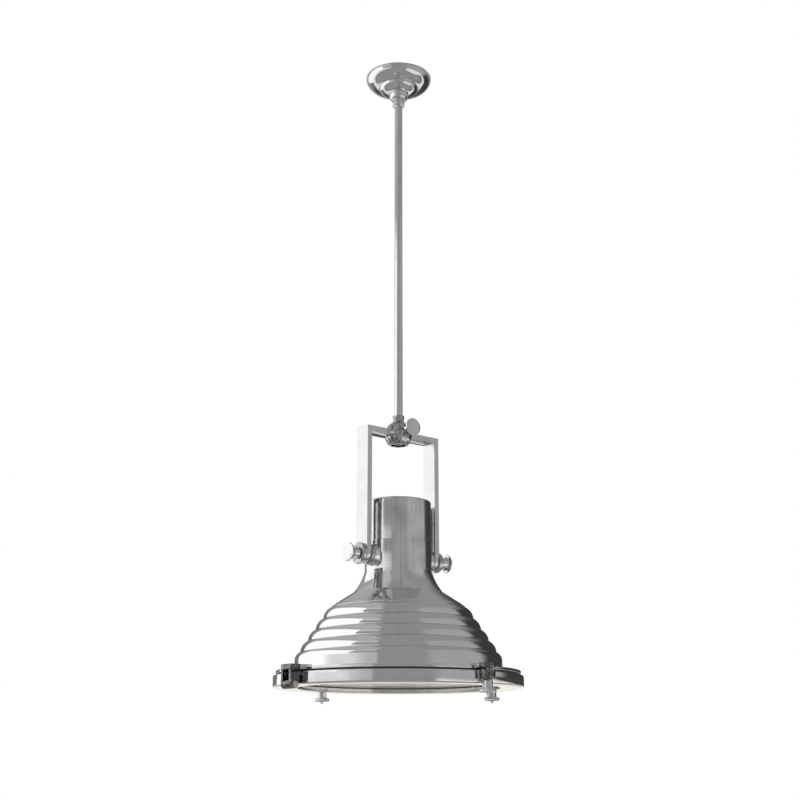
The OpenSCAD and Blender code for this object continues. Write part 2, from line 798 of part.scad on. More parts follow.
module cap() {
  top = cap_z + cap_h;
  color(chrome_col) head() difference() {
    rotate_extrude($fn = shell_fn) polygon(concat(
      [[cap_in_r, cap_z], [cap_r, cap_z]],
      [for (i = [0 : arc_steps]) let (a = 90 * i / arc_steps)
        [cap_r - cap_edge + cap_edge * cos(a), top - cap_edge + cap_edge * sin(a)]],
      [[0, top], [0, top - cap_wall]],
      [for (i = [arc_steps : -1 : 0]) let (a = 90 * i / arc_steps, r = cap_edge - cap_wall)
        [cap_r - cap_edge + r * cos(a), top - cap_edge + r * sin(a)]]));
    at_seam_slots() translate([cap_in_r - cut, -seam_slot_w / 2, cap_z - cut])
      cube([cap_wall + 2 * cut, seam_slot_w, seam_slot_h + cut]);
  }
}

module cap_pins() {
  spigot_r = cap_in_r - seat_gap;
  color(steel_col) head() at_seam_slots()
    translate([spigot_r - spigot_wall, 0, cap_z + seam_slot_h / 2]) rotate([0, 90, 0])
      cylinder(d = cap_pin_d, h = spigot_wall + cap_wall / 2, $fn = round_fn);
}

module neck_casting() {
  spigot_r = cap_in_r - seat_gap;
  color(chrome_col) head() difference() {
    union() {
      rotate_extrude($fn = shell_fn) polygon([
        [neck_in_r, neck_z], [neck_r - edge / 2, neck_z], [neck_r, neck_z + edge / 2],
        [neck_r, cap_z - edge / 2], [neck_r - edge / 2, cap_z], [spigot_r, cap_z],
        [spigot_r, cap_z + spigot_h], [spigot_r - spigot_wall, cap_z + spigot_h],
        [spigot_r - spigot_wall, plate_z], [spigot_r - spigot_wall - ledge_w, plate_z],
        [spigot_r - spigot_wall - ledge_w, plate_z - ledge_t], [neck_in_r, plate_z - ledge_root_h]]);
      difference() {
        translate([-boss_face, 0, pivot_h]) rotate([0, 90, 0])
          cylinder(d = boss_d, h = 2 * boss_face, $fn = round_fn);
        translate([0, 0, neck_z]) cylinder(r = neck_in_r + edge, h = neck_h, $fn = shell_fn);
      }
    }
    translate([-boss_face - cut, 0, pivot_h]) rotate([0, 90, 0])
      cylinder(r = sleeve_r + press_gap, h = 2 * (boss_face + cut), $fn = round_fn);
    at_seam_slots() translate([spigot_r - spigot_wall - cut, 0, cap_z + seam_slot_h / 2])
      rotate([0, 90, 0]) cylinder(d = cap_pin_d + 2 * press_gap, h = 2 * spigot_wall, $fn = round_fn);
    at_plate_screws() translate([0, 0, plate_z - plate_screw_l])
      cylinder(d = plate_screw_d + 2 * press_gap, h = plate_screw_l + cut, $fn = round_fn);
  }
}

module at_plate_screws() {
  for (s = [-1, 1]) translate([0, s * (cap_in_r - seat_gap - spigot_wall - ledge_w / 2), 0]) children();
}

module plate_screws() {
  color(steel_col) head() at_plate_screws() {
    translate([0, 0, plate_z + plate_t])
      cylinder(d = plate_screw_head_d, h = plate_screw_head_t, $fn = round_fn);
    translate([0, 0, plate_z - plate_screw_l + edge])
      cylinder(d = plate_screw_d, h = plate_screw_l + plate_t, $fn = round_fn);
  }
}

module at_bell_screws() {
  for (i = [0 : bell_screw_count - 1]) rotate([0, 0, bell_screw_turn + i * 360 / bell_screw_count])
    translate([bell_flange_r + bell_screw_head_d / 2 + edge, 0, bell_z]) children();
}

module bell() {
  inner = bell_line(bell_wall);
  spigot_r = neck_in_r - press_gap;
  color(chrome_col) head() difference() {
    rotate_extrude($fn = shell_fn)
      polygon(concat(bell_line(0), [[bell_flange_r, bell_z], [bell_flange_r, bell_z + bell_wall]],
        [for (i = [arc_steps - 1 : -1 : 1]) inner[i]],
        [[spigot_r - spigot_wall, neck_z - edge], [spigot_r - spigot_wall, neck_z + spigot_h],
         [spigot_r, neck_z + spigot_h], [spigot_r, neck_z]]));
    at_bell_screws() translate([0, 0, -cut])
      cylinder(d = bell_screw_d + 2 * press_gap, h = bell_wall + 2 * cut, $fn = round_fn);
  }
}

module bell_screws() {
  color(steel_col) head() at_bell_screws() {
    translate([0, 0, -shade_wall - bell_screw_head_t])
      cylinder(d = bell_screw_head_d, h = bell_screw_head_t, $fn = round_fn);
    translate([0, 0, -shade_wall - edge])
      cylinder(d = bell_screw_d, h = shade_wall + bell_wall + 2 * edge, $fn = round_fn);
  }
}

module holder_plate() {
  color(steel_col) head() difference() {
    translate([0, 0, plate_z])
      tube(cap_in_r - seat_gap - spigot_wall - plate_play, nipple_d / 2 + press_gap, plate_t);
    translate([head_lead_x, 0, plate_z - cut])
      cylinder(d = plate_hole_d, h = plate_t + 2 * cut, $fn = round_fn);
    at_plate_screws() translate([0, 0, plate_z - cut])
      cylinder(d = plate_screw_d + 2 * press_gap, h = plate_t + 2 * cut, $fn = round_fn);
  }
}

module holder_nipple() {
  color(brass_col) head() translate([0, 0, plate_z - holder_nipple_low])
    tube(nipple_d / 2, nipple_bore_d / 2, holder_nipple_low + plate_t + holder_nipple_top);
}

module holder_locknut() {
  color(steel_col) head() translate([0, 0, plate_z + plate_t])
    hex_nut(locknut_af, locknut_t, nipple_d / 2 + press_gap);
}

module lamp_holder() {
  low = plate_z - holder_h;
  seat = plate_z - holder_nipple_low - holder_seat_gap;
  color(ceramic_col) head() rotate_extrude($fn = round_fn) polygon([
    [0, seat], [nipple_d / 2 + press_gap, seat], [nipple_d / 2 + press_gap, plate_z],
    [holder_r - holder_shoulder, plate_z], [holder_r, plate_z - holder_shoulder],
    [holder_r, low + edge], [holder_r - edge, low], [holder_r - holder_wall, low],
    [holder_r - holder_wall, plate_z - holder_floor], [0, plate_z - holder_floor]]);
}

module holder_shell() {
  top = plate_z - holder_floor;
  r = shell_in_d / 2;
  color(brass_col) head() rotate_extrude($fn = round_fn) polygon([
    [r, top - shell_l], [r + shell_wall, top - shell_l], [r + shell_wall, top - shell_lip_t],
    [holder_r - holder_wall - run_gap, top - shell_lip_t], [holder_r - holder_wall - run_gap, top],
    [contact_d, top], [contact_d, top - shell_lip_t], [r, top - shell_lip_t]]);
}

module centre_contact() {
  color(brass_col) head() translate([0, 0, plate_z - holder_floor - contact_t])
    cylinder(d = contact_d, h = contact_t, $fn = round_fn);
}

function bulb_top() = plate_z - holder_floor - contact_t - bulb_play;

module bulb_cap() {
  low = bulb_top() - bulb_tip_l - bulb_cap_l;
  r = bulb_cap_d / 2;
  color(steel_col) head() rotate_extrude($fn = round_fn) polygon([
    [0, low], [r, low], [r, low + bulb_cap_l - 2 * edge], [r - 2 * edge, low + bulb_cap_l],
    [bulb_tip_d / 2 + edge, low + bulb_cap_l], [bulb_tip_d / 2 - edge, bulb_top()], [0, bulb_top()]]);
}

module bulb_glass() {
  top = bulb_top() - bulb_tip_l - bulb_cap_l;
  r = bulb_d / 2;
  neck_r_here = r * bulb_neck_share;
  ball_z = top - bulb_l + r;
  color(glass_col) head() rotate_extrude($fn = round_fn) polygon(concat([[0, top], [neck_r_here, top]],
    [for (i = [1 : arc_steps]) let (s = i / arc_steps)
      [neck_r_here + (r - neck_r_here) * (1 - cos(180 * s)) / 2, top - (top - ball_z) * s]],
    [for (i = [1 : arc_steps]) let (a = 90 * i / arc_steps) [r * cos(a), ball_z - r * sin(a)]]));
}

function reflector_line(inset) = [for (i = [0 : reflector_steps]) let (s = i / reflector_steps)
  [reflector_hole_r + (flange_in_r - reflector_hole_r - 2 * edge) * s
     * (1 + (1 - s) * reflector_bulge_share) - inset,
   skirt_z + reflector_rise * (1 - s) - inset * (1 - s)]];

module reflector() {
  inner = reflector_line(reflector_wall);
  lip_r = skirt_r - shade_lip_w - reflector_lip_gap;
  color(enamel_col) head() rotate_extrude($fn = shell_fn) polygon(concat(
    [for (i = [0 : reflector_steps - 1]) reflector_line(0)[i]],
    [[flange_in_r + edge, skirt_z + reflector_wall], [lip_r, skirt_z + reflector_wall],
     [lip_r, skirt_z], [flange_in_r - 2 * edge, skirt_z]],
    [for (i = [reflector_steps - 1 : -1 : 0]) inner[i]]));
}

module shade() {
  inner = shade_line(shade_wall);
  color(chrome_col) head() difference() {
    rotate_extrude($fn = shell_fn) polygon(concat(shade_line(0),
      [[skirt_r, skirt_z], [skirt_r - shade_lip_w, skirt_z], [skirt_r - shade_lip_w, skirt_z + shade_wall]],
      [for (i = [len(inner) - 1 : -1 : 0]) inner[i]]));
    at_flange_screws() translate([0, 0, skirt_z - cut])
      cylinder(d = flange_screw_d + 2 * press_gap, h = shade_wall + 2 * cut, $fn = round_fn);
    at_bell_screws() translate([0, 0, -shade_wall - cut])
      cylinder(d = bell_screw_d + 2 * press_gap, h = shade_wall + 2 * cut, $fn = round_fn);
  }
}

module at_flange_screws() {
  for (i = [0 : flange_screw_count - 1])
    rotate([0, 0, flange_screw_turn + i * 360 / flange_screw_count])
      translate([skirt_r - (shade_lip_w + shade_wall) / 2, 0, 0]) children();
}

module flange_screws() {
  color(steel_col) head() at_flange_screws() {
    translate([0, 0, flange_z - flange_screw_head_t])
      cylinder(d = flange_screw_head_d, h = flange_screw_head_t, $fn = round_fn);
    translate([0, 0, flange_z - edge])
      cylinder(d = flange_screw_d, h = flange_t + shade_wall + edge, $fn = round_fn);
  }
}

// A lug: a block that runs out from the rim and ends in a half round
module lug(h, in_r) {
  linear_extrude(h) {
    translate([in_r, -lug_w / 2]) square([lug_r - in_r, lug_w]);
    translate([lug_r, 0]) circle(d = lug_w, $fn = round_fn);
  }
}

module at_thumbscrews() {
  for (a = screw_turns) rotate([0, 0, a]) children();
}

module hinge_cheek() {
  top = flange_z + flange_lug_h;
  rotate([90, 0, 0]) linear_extrude(cheek_t) {
    translate([axis_x, 0]) circle(d = knuckle_d, $fn = round_fn);
    translate([axis_x - knuckle_d / 2, 0]) square([knuckle_d / 2 + cheek_in, top]);
  }
}

module flange_ring() {
  hinge_w = 2 * (cheek_y + cheek_t);
  color(chrome_col) head() difference() {
    union() {
      translate([0, 0, flange_z]) rotate_extrude($fn = shell_fn)
        polygon([[flange_in_r, 0], [flange_r - edge, 0], [flange_r, edge], [flange_r, flange_t - edge],
          [flange_r - edge, flange_t], [flange_in_r, flange_t]]);
      at_thumbscrews() translate([0, 0, flange_z]) lug(flange_lug_h, flange_r - bracket_in);
      for (s = [-1, 1]) translate([0, s * (cheek_y + cheek_t / 2) + cheek_t / 2, 0]) hinge_cheek();
      translate([axis_x - knuckle_d / 2, -hinge_w / 2, flange_z])
        cube([hinge_r - flange_r + knuckle_d / 2 + bracket_in, hinge_w, flange_lug_h]);
    }
    at_thumbscrews() translate([lug_r, 0, flange_z - cut])
      cylinder(d = thumb_tip_d + 2 * thumb_tip_gap, h = flange_lug_h + 2 * cut, $fn = round_fn);
    at_flange_screws() translate([0, 0, flange_z - cut])
      cylinder(d = flange_screw_d + 2 * press_gap, h = flange_t + 2 * cut, $fn = round_fn);
    translate([axis_x, hinge_w, 0]) rotate([90, 0, 0])
      cylinder(d = hinge_pin_d + 2 * press_gap, h = 2 * hinge_w, $fn = round_fn);
  }
}

module rim_gasket() {
  color(rubber_col) head() translate([0, 0, bezel_h + seat_gap])
    difference() {
      cylinder(r = gasket_out_r, h = rim_gap - seat_gap, $fn = shell_fn);
      translate([0, 0, -cut]) cylinder(r = gasket_in_r, h = rim_gap + cut, $fn = shell_fn);
    }
}

module bezel() {
  color(chrome_col) head() difference() {
    union() {
      rotate_extrude($fn = shell_fn) polygon([
        [lens_open_r, edge], [lens_open_r + edge, 0], [bezel_r - 2 * edge, 0], [bezel_r, 2 * edge],
        [bezel_r, bezel_h - edge], [bezel_r - edge, bezel_h], [bezel_in_r, bezel_h],
        [bezel_in_r, lens_ring_z], [shoulder_r, lens_ring_z], [shoulder_r, seat_z], [lens_open_r, seat_z]]);
      difference() {
        at_thumbscrews() translate([0, 0, lug_z]) lug(bezel_lug_h, bezel_r - 2 * edge);
        translate([0, 0, bezel_h]) cylinder(r = bezel_r + 2 * edge, h = bezel_h, $fn = shell_fn);
      }
      rotate([90, 0, 0]) translate([axis_x, 0, -knuckle_w / 2]) {
        cylinder(d = knuckle_d, h = knuckle_w, $fn = round_fn);
        translate([0, -edge, 0]) cube([hinge_r - bezel_r + 2 * edge, web_h + edge, knuckle_w]);
      }
    }
    at_thumbscrews() translate([lug_r, 0, 0]) {
      translate([0, 0, -cut]) cylinder(d = thumb_neck_d + 4 * seat_gap, h = lug_z + cut, $fn = round_fn);
      translate([0, 0, lug_z - cut])
        cylinder(d = thumb_screw_d + 2 * run_gap, h = bezel_lug_h + 2 * cut, $fn = round_fn);
      translate([0, 0, lug_z + bezel_lug_h - ring_bore_depth])
        cylinder(d = ring_recess_d, h = ring_bore_depth + cut, $fn = round_fn);
    }
    translate([axis_x, knuckle_w, 0]) rotate([90, 0, 0])
      cylinder(d = hinge_pin_d + 2 * run_gap, h = 2 * knuckle_w, $fn = round_fn);
    at_ring_screws() translate([0, 0, lens_ring_z - ring_screw_l])
      cylinder(d = ring_screw_d + 2 * press_gap, h = ring_screw_l + cut, $fn = round_fn);
  }
}

module lens_glass() {
  color(glass_col) head() translate([0, 0, glass_z]) cylinder(r = glass_r, h = glass_t, $fn = shell_fn);
}

module lens_gasket() {
  color(rubber_col) head() translate([0, 0, seat_z]) difference() {
    cylinder(r = glass_r + glass_play, h = lens_gasket_t, $fn = shell_fn);
    translate([0, 0, -cut])
      cylinder(r = lens_open_r + 2 * edge, h = lens_gasket_t + 2 * cut, $fn = shell_fn);
  }
}

module at_ring_screws() {
  for (i = [0 : ring_screw_count - 1])
    rotate([0, 0, ring_screw_turn + i * 360 / ring_screw_count]) translate([ring_screw_r, 0, 0]) children();
}

module lens_ring() {
  color(steel_col) head() difference() {
    translate([0, 0, lens_ring_z]) difference() {
      cylinder(r = bezel_in_r - glass_play, h = lens_ring_t, $fn = shell_fn);
      translate([0, 0, -cut]) cylinder(r = lens_ring_in_r, h = lens_ring_t + 2 * cut, $fn = shell_fn);
    }
    at_ring_screws() translate([0, 0, lens_ring_z - cut])
      cylinder(d = ring_screw_d + 2 * press_gap, h = lens_ring_t + 2 * cut, $fn = round_fn);
  }
}

module lens_ring_screws() {
  color(steel_col) head() at_ring_screws() {
    translate([0, 0, lens_ring_z + lens_ring_t])
      cylinder(d = ring_screw_head_d, h = ring_screw_head_t, $fn = round_fn);
    translate([0, 0, lens_ring_z - ring_screw_l + edge])
      cylinder(d = ring_screw_d, h = lens_ring_t + ring_screw_l, $fn = round_fn);
  }
}

module hinge_pin() {
  half = cheek_y + cheek_t;
  color(steel_col) head() translate([axis_x, 0, 0]) rotate([90, 0, 0]) {
    translate([0, 0, -half]) cylinder(d = hinge_pin_d, h = 2 * half, $fn = round_fn);
    for (s = [-1, 1]) translate([0, 0, s * (half + hinge_pin_head_t / 2) - hinge_pin_head_t / 2])
      cylinder(d = hinge_pin_head_d, h = hinge_pin_head_t, $fn = round_fn);
  }
}

module retaining_rings() {
  color(steel_col) head() at_thumbscrews()
    translate([lug_r, 0, lug_z + bezel_lug_h - ring_bore_depth])
      tube(ring_outer_d / 2, thumb_tip_d / 2 + run_gap, ring_t);
}

module thumbscrew(turn) {
  disc_z = -thumb_neck_l - thumb_t;
  color(chrome_col) head() rotate([0, 0, turn]) translate([lug_r, 0, lug_z]) {
    difference() {
      translate([0, 0, disc_z]) rotate_extrude($fn = round_fn) polygon([
        [0, 0], [thumb_d / 2 - edge, 0], [thumb_d / 2, edge], [thumb_d / 2, thumb_t - edge],
        [thumb_d / 2 - edge, thumb_t], [0, thumb_t]]);
      for (i = [0 : thumb_scallops - 1]) rotate([0, 0, i * 360 / thumb_scallops])
        translate([thumb_d / 2 + edge / 2, 0, disc_z - cut])
          cylinder(d = thumb_scallop_d, h = thumb_t + 2 * cut, $fn = round_fn / 4);
    }
    translate([0, 0, -thumb_neck_l - edge])
      cylinder(d = thumb_neck_d, h = thumb_neck_l + edge - seat_gap, $fn = round_fn);
    translate([0, 0, disc_z - thumb_stud_l])
      cylinder(d = thumb_stud_d, h = thumb_stud_l + edge, $fn = round_fn);
    translate([0, 0, -seat_gap - edge]) cylinder(d = thumb_screw_d,
      h = bezel_lug_h - ring_bore_depth - press_gap + seat_gap + edge, $fn = round_fn);
    translate([0, 0, -seat_gap]) cylinder(d = thumb_tip_d,
      h = flange_z - lug_z + thumb_tip_l, $fn = round_fn);
  }
}

// A stretch of lead between two points of the XZ plane, along X or Z
module lead_run(p, q, thick = lead_d, sides = round_fn) {
  d = q - p;
  translate([p[0], 0, p[1]]) rotate([0, d[0] > 0 ? 90 : d[0] < 0 ? -90 : d[1] > 0 ? 0 : 180, 0])
    cylinder(d = thick, h = norm(d), $fn = sides);
}

// A quarter turn of lead about a centre in the XZ plane; turn 0 lies between +X and +Z
module lead_bend(centre, turn, r = lead_bend_r, thick = lead_d, sides = round_fn) {
  translate([centre[0], 0, centre[1]]) rotate([90, 0, 0]) rotate([0, 0, turn])
    rotate_extrude(angle = 90, $fn = round_fn) translate([r, 0]) circle(d = thick, $fn = sides);
}

module supply_lead() {
  r = lead_start_bend_r;
  color(rubber_col) {
    lead_run([block_x() - block_w / 2, lead_z()], [r, lead_z()], cable_d, cable_sides);
    lead_bend([r, lead_z() - r], 90, r, cable_d, cable_sides);
    lead_run([0, lead_z() - r], [0, hub_mid_z], cable_d, cable_sides);
  }
}

module yoke_lead() {
  leg_x = -(yoke_r - strip_t / 2);
  color(rubber_col) {
    lead_run([-stem_r - lead_play, hub_mid_z], [leg_x + lead_bend_r, hub_mid_z]);
    lead_bend([leg_x + lead_bend_r, hub_mid_z - lead_bend_r], 90);
    lead_run([leg_x, hub_mid_z - lead_bend_r], [leg_x, pivot_z + sleeve_r + lead_play]);
  }
}

module head_lead() {
  leg_x = -(yoke_r - strip_t / 2);
  low = pivot_h;
  high = cap_z + head_lead_top;
  b = lead_bend_r;
  color(rubber_col) head() {
    lead_run([leg_x, low], [head_lead_x - b, low]);
    lead_bend([head_lead_x - b, low + b], 270);
    lead_run([head_lead_x, low + b], [head_lead_x, high - b]);
    lead_bend([head_lead_x + b, high - b], 90);
    lead_run([head_lead_x + b, high], [-b, high]);
    lead_bend([-b, high - b], 0);
    lead_run([0, high - b], [0, plate_z - holder_nipple_low]);
  }
}

module front_thumbscrew() { thumbscrew(screw_turns[0]); }
module right_thumbscrew() { thumbscrew(screw_turns[1]); }
module back_thumbscrew() { thumbscrew(screw_turns[2]); }

ceiling_plate();
hanger_nipple();
nipple_locknut();
terminal_block();
terminal_screws();
earth_screw();
canopy();
canopy_collar();
collar_grub_screw();
rod();
rod_coupler();
rod_end_collar();
swivel_stem();
stop_pin();
hub_upper();
hub_cup();
swivel_washer();
swivel_nut();
pan_knob();
yoke();
left_friction_bush();
right_friction_bush();
left_pressure_washer();
right_pressure_washer();
left_pivot_sleeve();
right_pivot_sleeve();
left_tilt_knob();
right_tilt_knob();
cap();
cap_pins();
neck_casting();
bell();
holder_plate();
holder_nipple();
holder_locknut();
lamp_holder();
holder_shell();
centre_contact();
bulb_cap();
bulb_glass();
reflector();
shade();
flange_ring();
flange_screws();
rim_gasket();
bezel();
lens_glass();
lens_gasket();
lens_ring();
lens_ring_screws();
hinge_pin();
retaining_rings();
front_thumbscrew();
right_thumbscrew();
back_thumbscrew();
bell_screws();
plate_screws();
supply_lead();
yoke_lead();
head_lead();
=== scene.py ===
import json
import math

import bmesh
import bpy
from mathutils import Matrix, Vector


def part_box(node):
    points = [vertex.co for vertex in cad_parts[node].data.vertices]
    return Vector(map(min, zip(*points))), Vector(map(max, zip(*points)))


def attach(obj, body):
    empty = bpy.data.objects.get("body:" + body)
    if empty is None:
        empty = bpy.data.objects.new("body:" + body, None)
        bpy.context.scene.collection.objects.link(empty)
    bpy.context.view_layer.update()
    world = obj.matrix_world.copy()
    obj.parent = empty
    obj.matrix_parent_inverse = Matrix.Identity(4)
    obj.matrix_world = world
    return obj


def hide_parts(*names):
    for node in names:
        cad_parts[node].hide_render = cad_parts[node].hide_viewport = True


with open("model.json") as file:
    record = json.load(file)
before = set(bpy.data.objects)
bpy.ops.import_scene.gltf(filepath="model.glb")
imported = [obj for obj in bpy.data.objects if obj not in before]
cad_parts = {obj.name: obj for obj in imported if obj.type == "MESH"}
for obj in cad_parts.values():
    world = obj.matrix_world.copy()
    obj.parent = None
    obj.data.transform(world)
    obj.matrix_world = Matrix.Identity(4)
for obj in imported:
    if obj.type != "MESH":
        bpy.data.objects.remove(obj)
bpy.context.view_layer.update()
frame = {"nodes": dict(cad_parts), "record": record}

mm = 0.001
weldDistance = 2e-6
scene = bpy.context.scene
scene.view_settings.view_transform = "Standard"


class Sizes(dict):
    # one piece's sizes; size.wall reads size["wall"]
    __getattr__ = dict.__getitem__


# camera, fitted to the photo; lengths in metres
cameraSetup = Sizes(lensMm=56.25, sensorMm=36.0, turnDeg=39.75, tiltDeg=15.98, distance=2.353,
                    belowRim=0.1225, sideShift=0.003, clipEnd=60)

# heights in the lamp head are counted from the foot of the bezel, in millimetres
seatHeight = 8.0
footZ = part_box("lens_gasket")[0].z - seatHeight * mm
headPlace = Matrix.Translation((0, 0, footZ))


def towards(setup):
    turn = math.radians(setup.turnDeg)
    return Vector((-math.sin(turn), -math.cos(turn), 0)), Vector((math.cos(turn), -math.sin(turn), 0))


def makeCamera(setup):
    back, right = towards(setup)
    data = bpy.data.cameras.new("photoCamera")
    data.lens = setup.lensMm
    data.sensor_width = setup.sensorMm
    data.clip_end = setup.clipEnd
    camera = bpy.data.objects.new("photoCamera", data)
    camera.location = back * setup.distance + right * setup.sideShift
    camera.location.z = footZ - setup.belowRim
    camera.rotation_euler = (math.radians(90 + setup.tiltDeg), 0, -math.radians(setup.turnDeg))
    scene.collection.objects.link(camera)
    scene.camera = camera


makeCamera(cameraSetup)
print("camera set")


# node helpers

def feed(tree, socket, value):
    if isinstance(value, bpy.types.NodeSocket):
        tree.links.new(value, socket)
    else:
        socket.default_value = value


def addNode(tree, kind, inputs=None, **settings):
    # inputs go by name or number, and are values or the outputs of other nodes
    node = tree.nodes.new(kind)
    for key, value in settings.items():
        setattr(node, key, value)
    for key, value in (inputs or {}).items():
        feed(tree, node.inputs[key], value)
    return node


def mathsIn(tree):
    # do("ADD", a, b) adds one Math node and gives its output
    def do(operation, *values):
        return addNode(tree, "ShaderNodeMath", dict(enumerate(values)), operation=operation).outputs[0]
    return do


def splitXyz(tree, vector):
    return addNode(tree, "ShaderNodeSeparateXYZ", {0: vector}).outputs


def joinXyz(tree, x, y, z):
    return addNode(tree, "ShaderNodeCombineXYZ", {0: x, 1: y, 2: z}).outputs[0]


def mixed(tree, factor, a, b):
    mix = addNode(tree, "ShaderNodeMix", {"Factor": factor, "A": a, "B": b}, data_type="RGBA")
    return mix.outputs["Result"]


def shadedBase(tree, tone, light, dark):
    return mixed(tree, tone, (*light, 1), (*dark, 1))


def socketOn(tree, name, way, kind, value=None):
    socket = tree.interface.new_socket(name=name, in_out=way, socket_type=kind)
    if value is not None:
        socket.default_value = value


# a finish gives its marks in this order and may leave out the last ones
markDefaults = {"Around": 40.0, "Along": 40.0, "Smudge Scale": 9.0, "Smooth": 0.05, "Rough": 0.14,
                "Line Depth": 0.2, "Line Tone": 0.0, "Outer From": 9.0}


def makeFinishMarks():
    # fine lines round or along the lamp's axis, soft smudges over them, and a mask beyond a radius, which the
    # rim uses for its painted dark reflection
    tree = bpy.data.node_groups.new("finishMarks", "ShaderNodeTree")
    do = mathsIn(tree)
    lineSlope, outerSharpness, smudgeLow, smudgeHigh = 1.7, 500.0, 0.42, 0.68
    for name, value in markDefaults.items():
        socketOn(tree, name, "INPUT", "NodeSocketFloat", value)
    for name in ("Roughness", "Height", "Tone", "Outer"):
        socketOn(tree, name, "OUTPUT", "NodeSocketFloat")
    put = addNode(tree, "NodeGroupInput").outputs
    place = addNode(tree, "ShaderNodeTexCoord").outputs["Object"]
    x, y, z = splitXyz(tree, place)
    radius = do("SQRT", do("ADD", do("MULTIPLY", x, x), do("MULTIPLY", y, y)))
    safe = do("MAXIMUM", radius, 0.0005)
    lines = joinXyz(tree, do("MULTIPLY", do("DIVIDE", x, safe), put["Around"]),
                    do("MULTIPLY", do("DIVIDE", y, safe), put["Around"]),
                    do("MULTIPLY", do("ADD", z, do("MULTIPLY", radius, lineSlope)), put["Along"]))
    fine = addNode(tree, "ShaderNodeTexNoise", {"Vector": lines, "Scale": 1.0, "Detail": 3.0}).outputs["Fac"]
    soft = addNode(tree, "ShaderNodeTexNoise", {"Vector": place, "Scale": put["Smudge Scale"], "Detail": 4.0})
    smudge = addNode(tree, "ShaderNodeMapRange", {
        "Value": soft.outputs["Fac"], "From Min": smudgeLow, "From Max": smudgeHigh})
    even = do("MULTIPLY", do("ADD", smudge.outputs[0], fine), 0.5)
    contrast = do("MULTIPLY", do("SUBTRACT", fine, 0.5), put["Line Tone"])
    beyond = do("MULTIPLY", do("SUBTRACT", radius, put["Outer From"]), outerSharpness)
    addNode(tree, "NodeGroupOutput", {
        "Roughness": do("MULTIPLY_ADD", do("SUBTRACT", put["Rough"], put["Smooth"]), even, put["Smooth"]),
        "Height": do("MULTIPLY", fine, put["Line Depth"]),
        "Tone": do("MINIMUM", do("MAXIMUM", do("ADD", even, contrast), 0.0), 1.0),
        "Outer": do("MINIMUM", do("MAXIMUM", beyond, 0.0), 1.0)})
    return tree


finishMarks = makeFinishMarks()


def markedMaterial(name, marks, bump, distance):
    # a material whose roughness and normal come from the finish marks
    material = bpy.data.materials.new(name)
    material.use_nodes = True
    tree = material.node_tree
    shader = tree.nodes["Principled BSDF"]
    group = addNode(tree, "ShaderNodeGroup", dict(zip(markDefaults, marks)), node_tree=finishMarks)
    relief = addNode(tree, "ShaderNodeBump", {
        "Strength": bump, "Distance": distance, "Height": group.outputs["Height"]})
    feed(tree, shader.inputs["Roughness"], group.outputs["Roughness"])
    feed(tree, shader.inputs["Normal"], relief.outputs[0])
    return material, tree, shader, group.outputs


def makeMetal(name, finish):
    material, tree, shader, marks = markedMaterial(name, finish["marks"], finish["bump"], 0.0004)
    base = shadedBase(tree, marks["Tone"], finish["light"], finish["dark"])
    # beyond Outer From the base colour turns into a painted dark reflection, used on the rim's lugs and hinge
    if "paintedReflectionLight" in finish:
        paintedReflection = shadedBase(tree, marks["Tone"], finish["paintedReflectionLight"], finish["paintedReflectionDark"])
        base = mixed(tree, marks["Outer"], base, paintedReflection)
    feed(tree, shader.inputs["Base Color"], base)
    shader.inputs["Metallic"].default_value = finish.get("metallic", 1.0)
    if "coat" in finish:
        shader.inputs["Coat Weight"].default_value = finish["coat"]
    return material
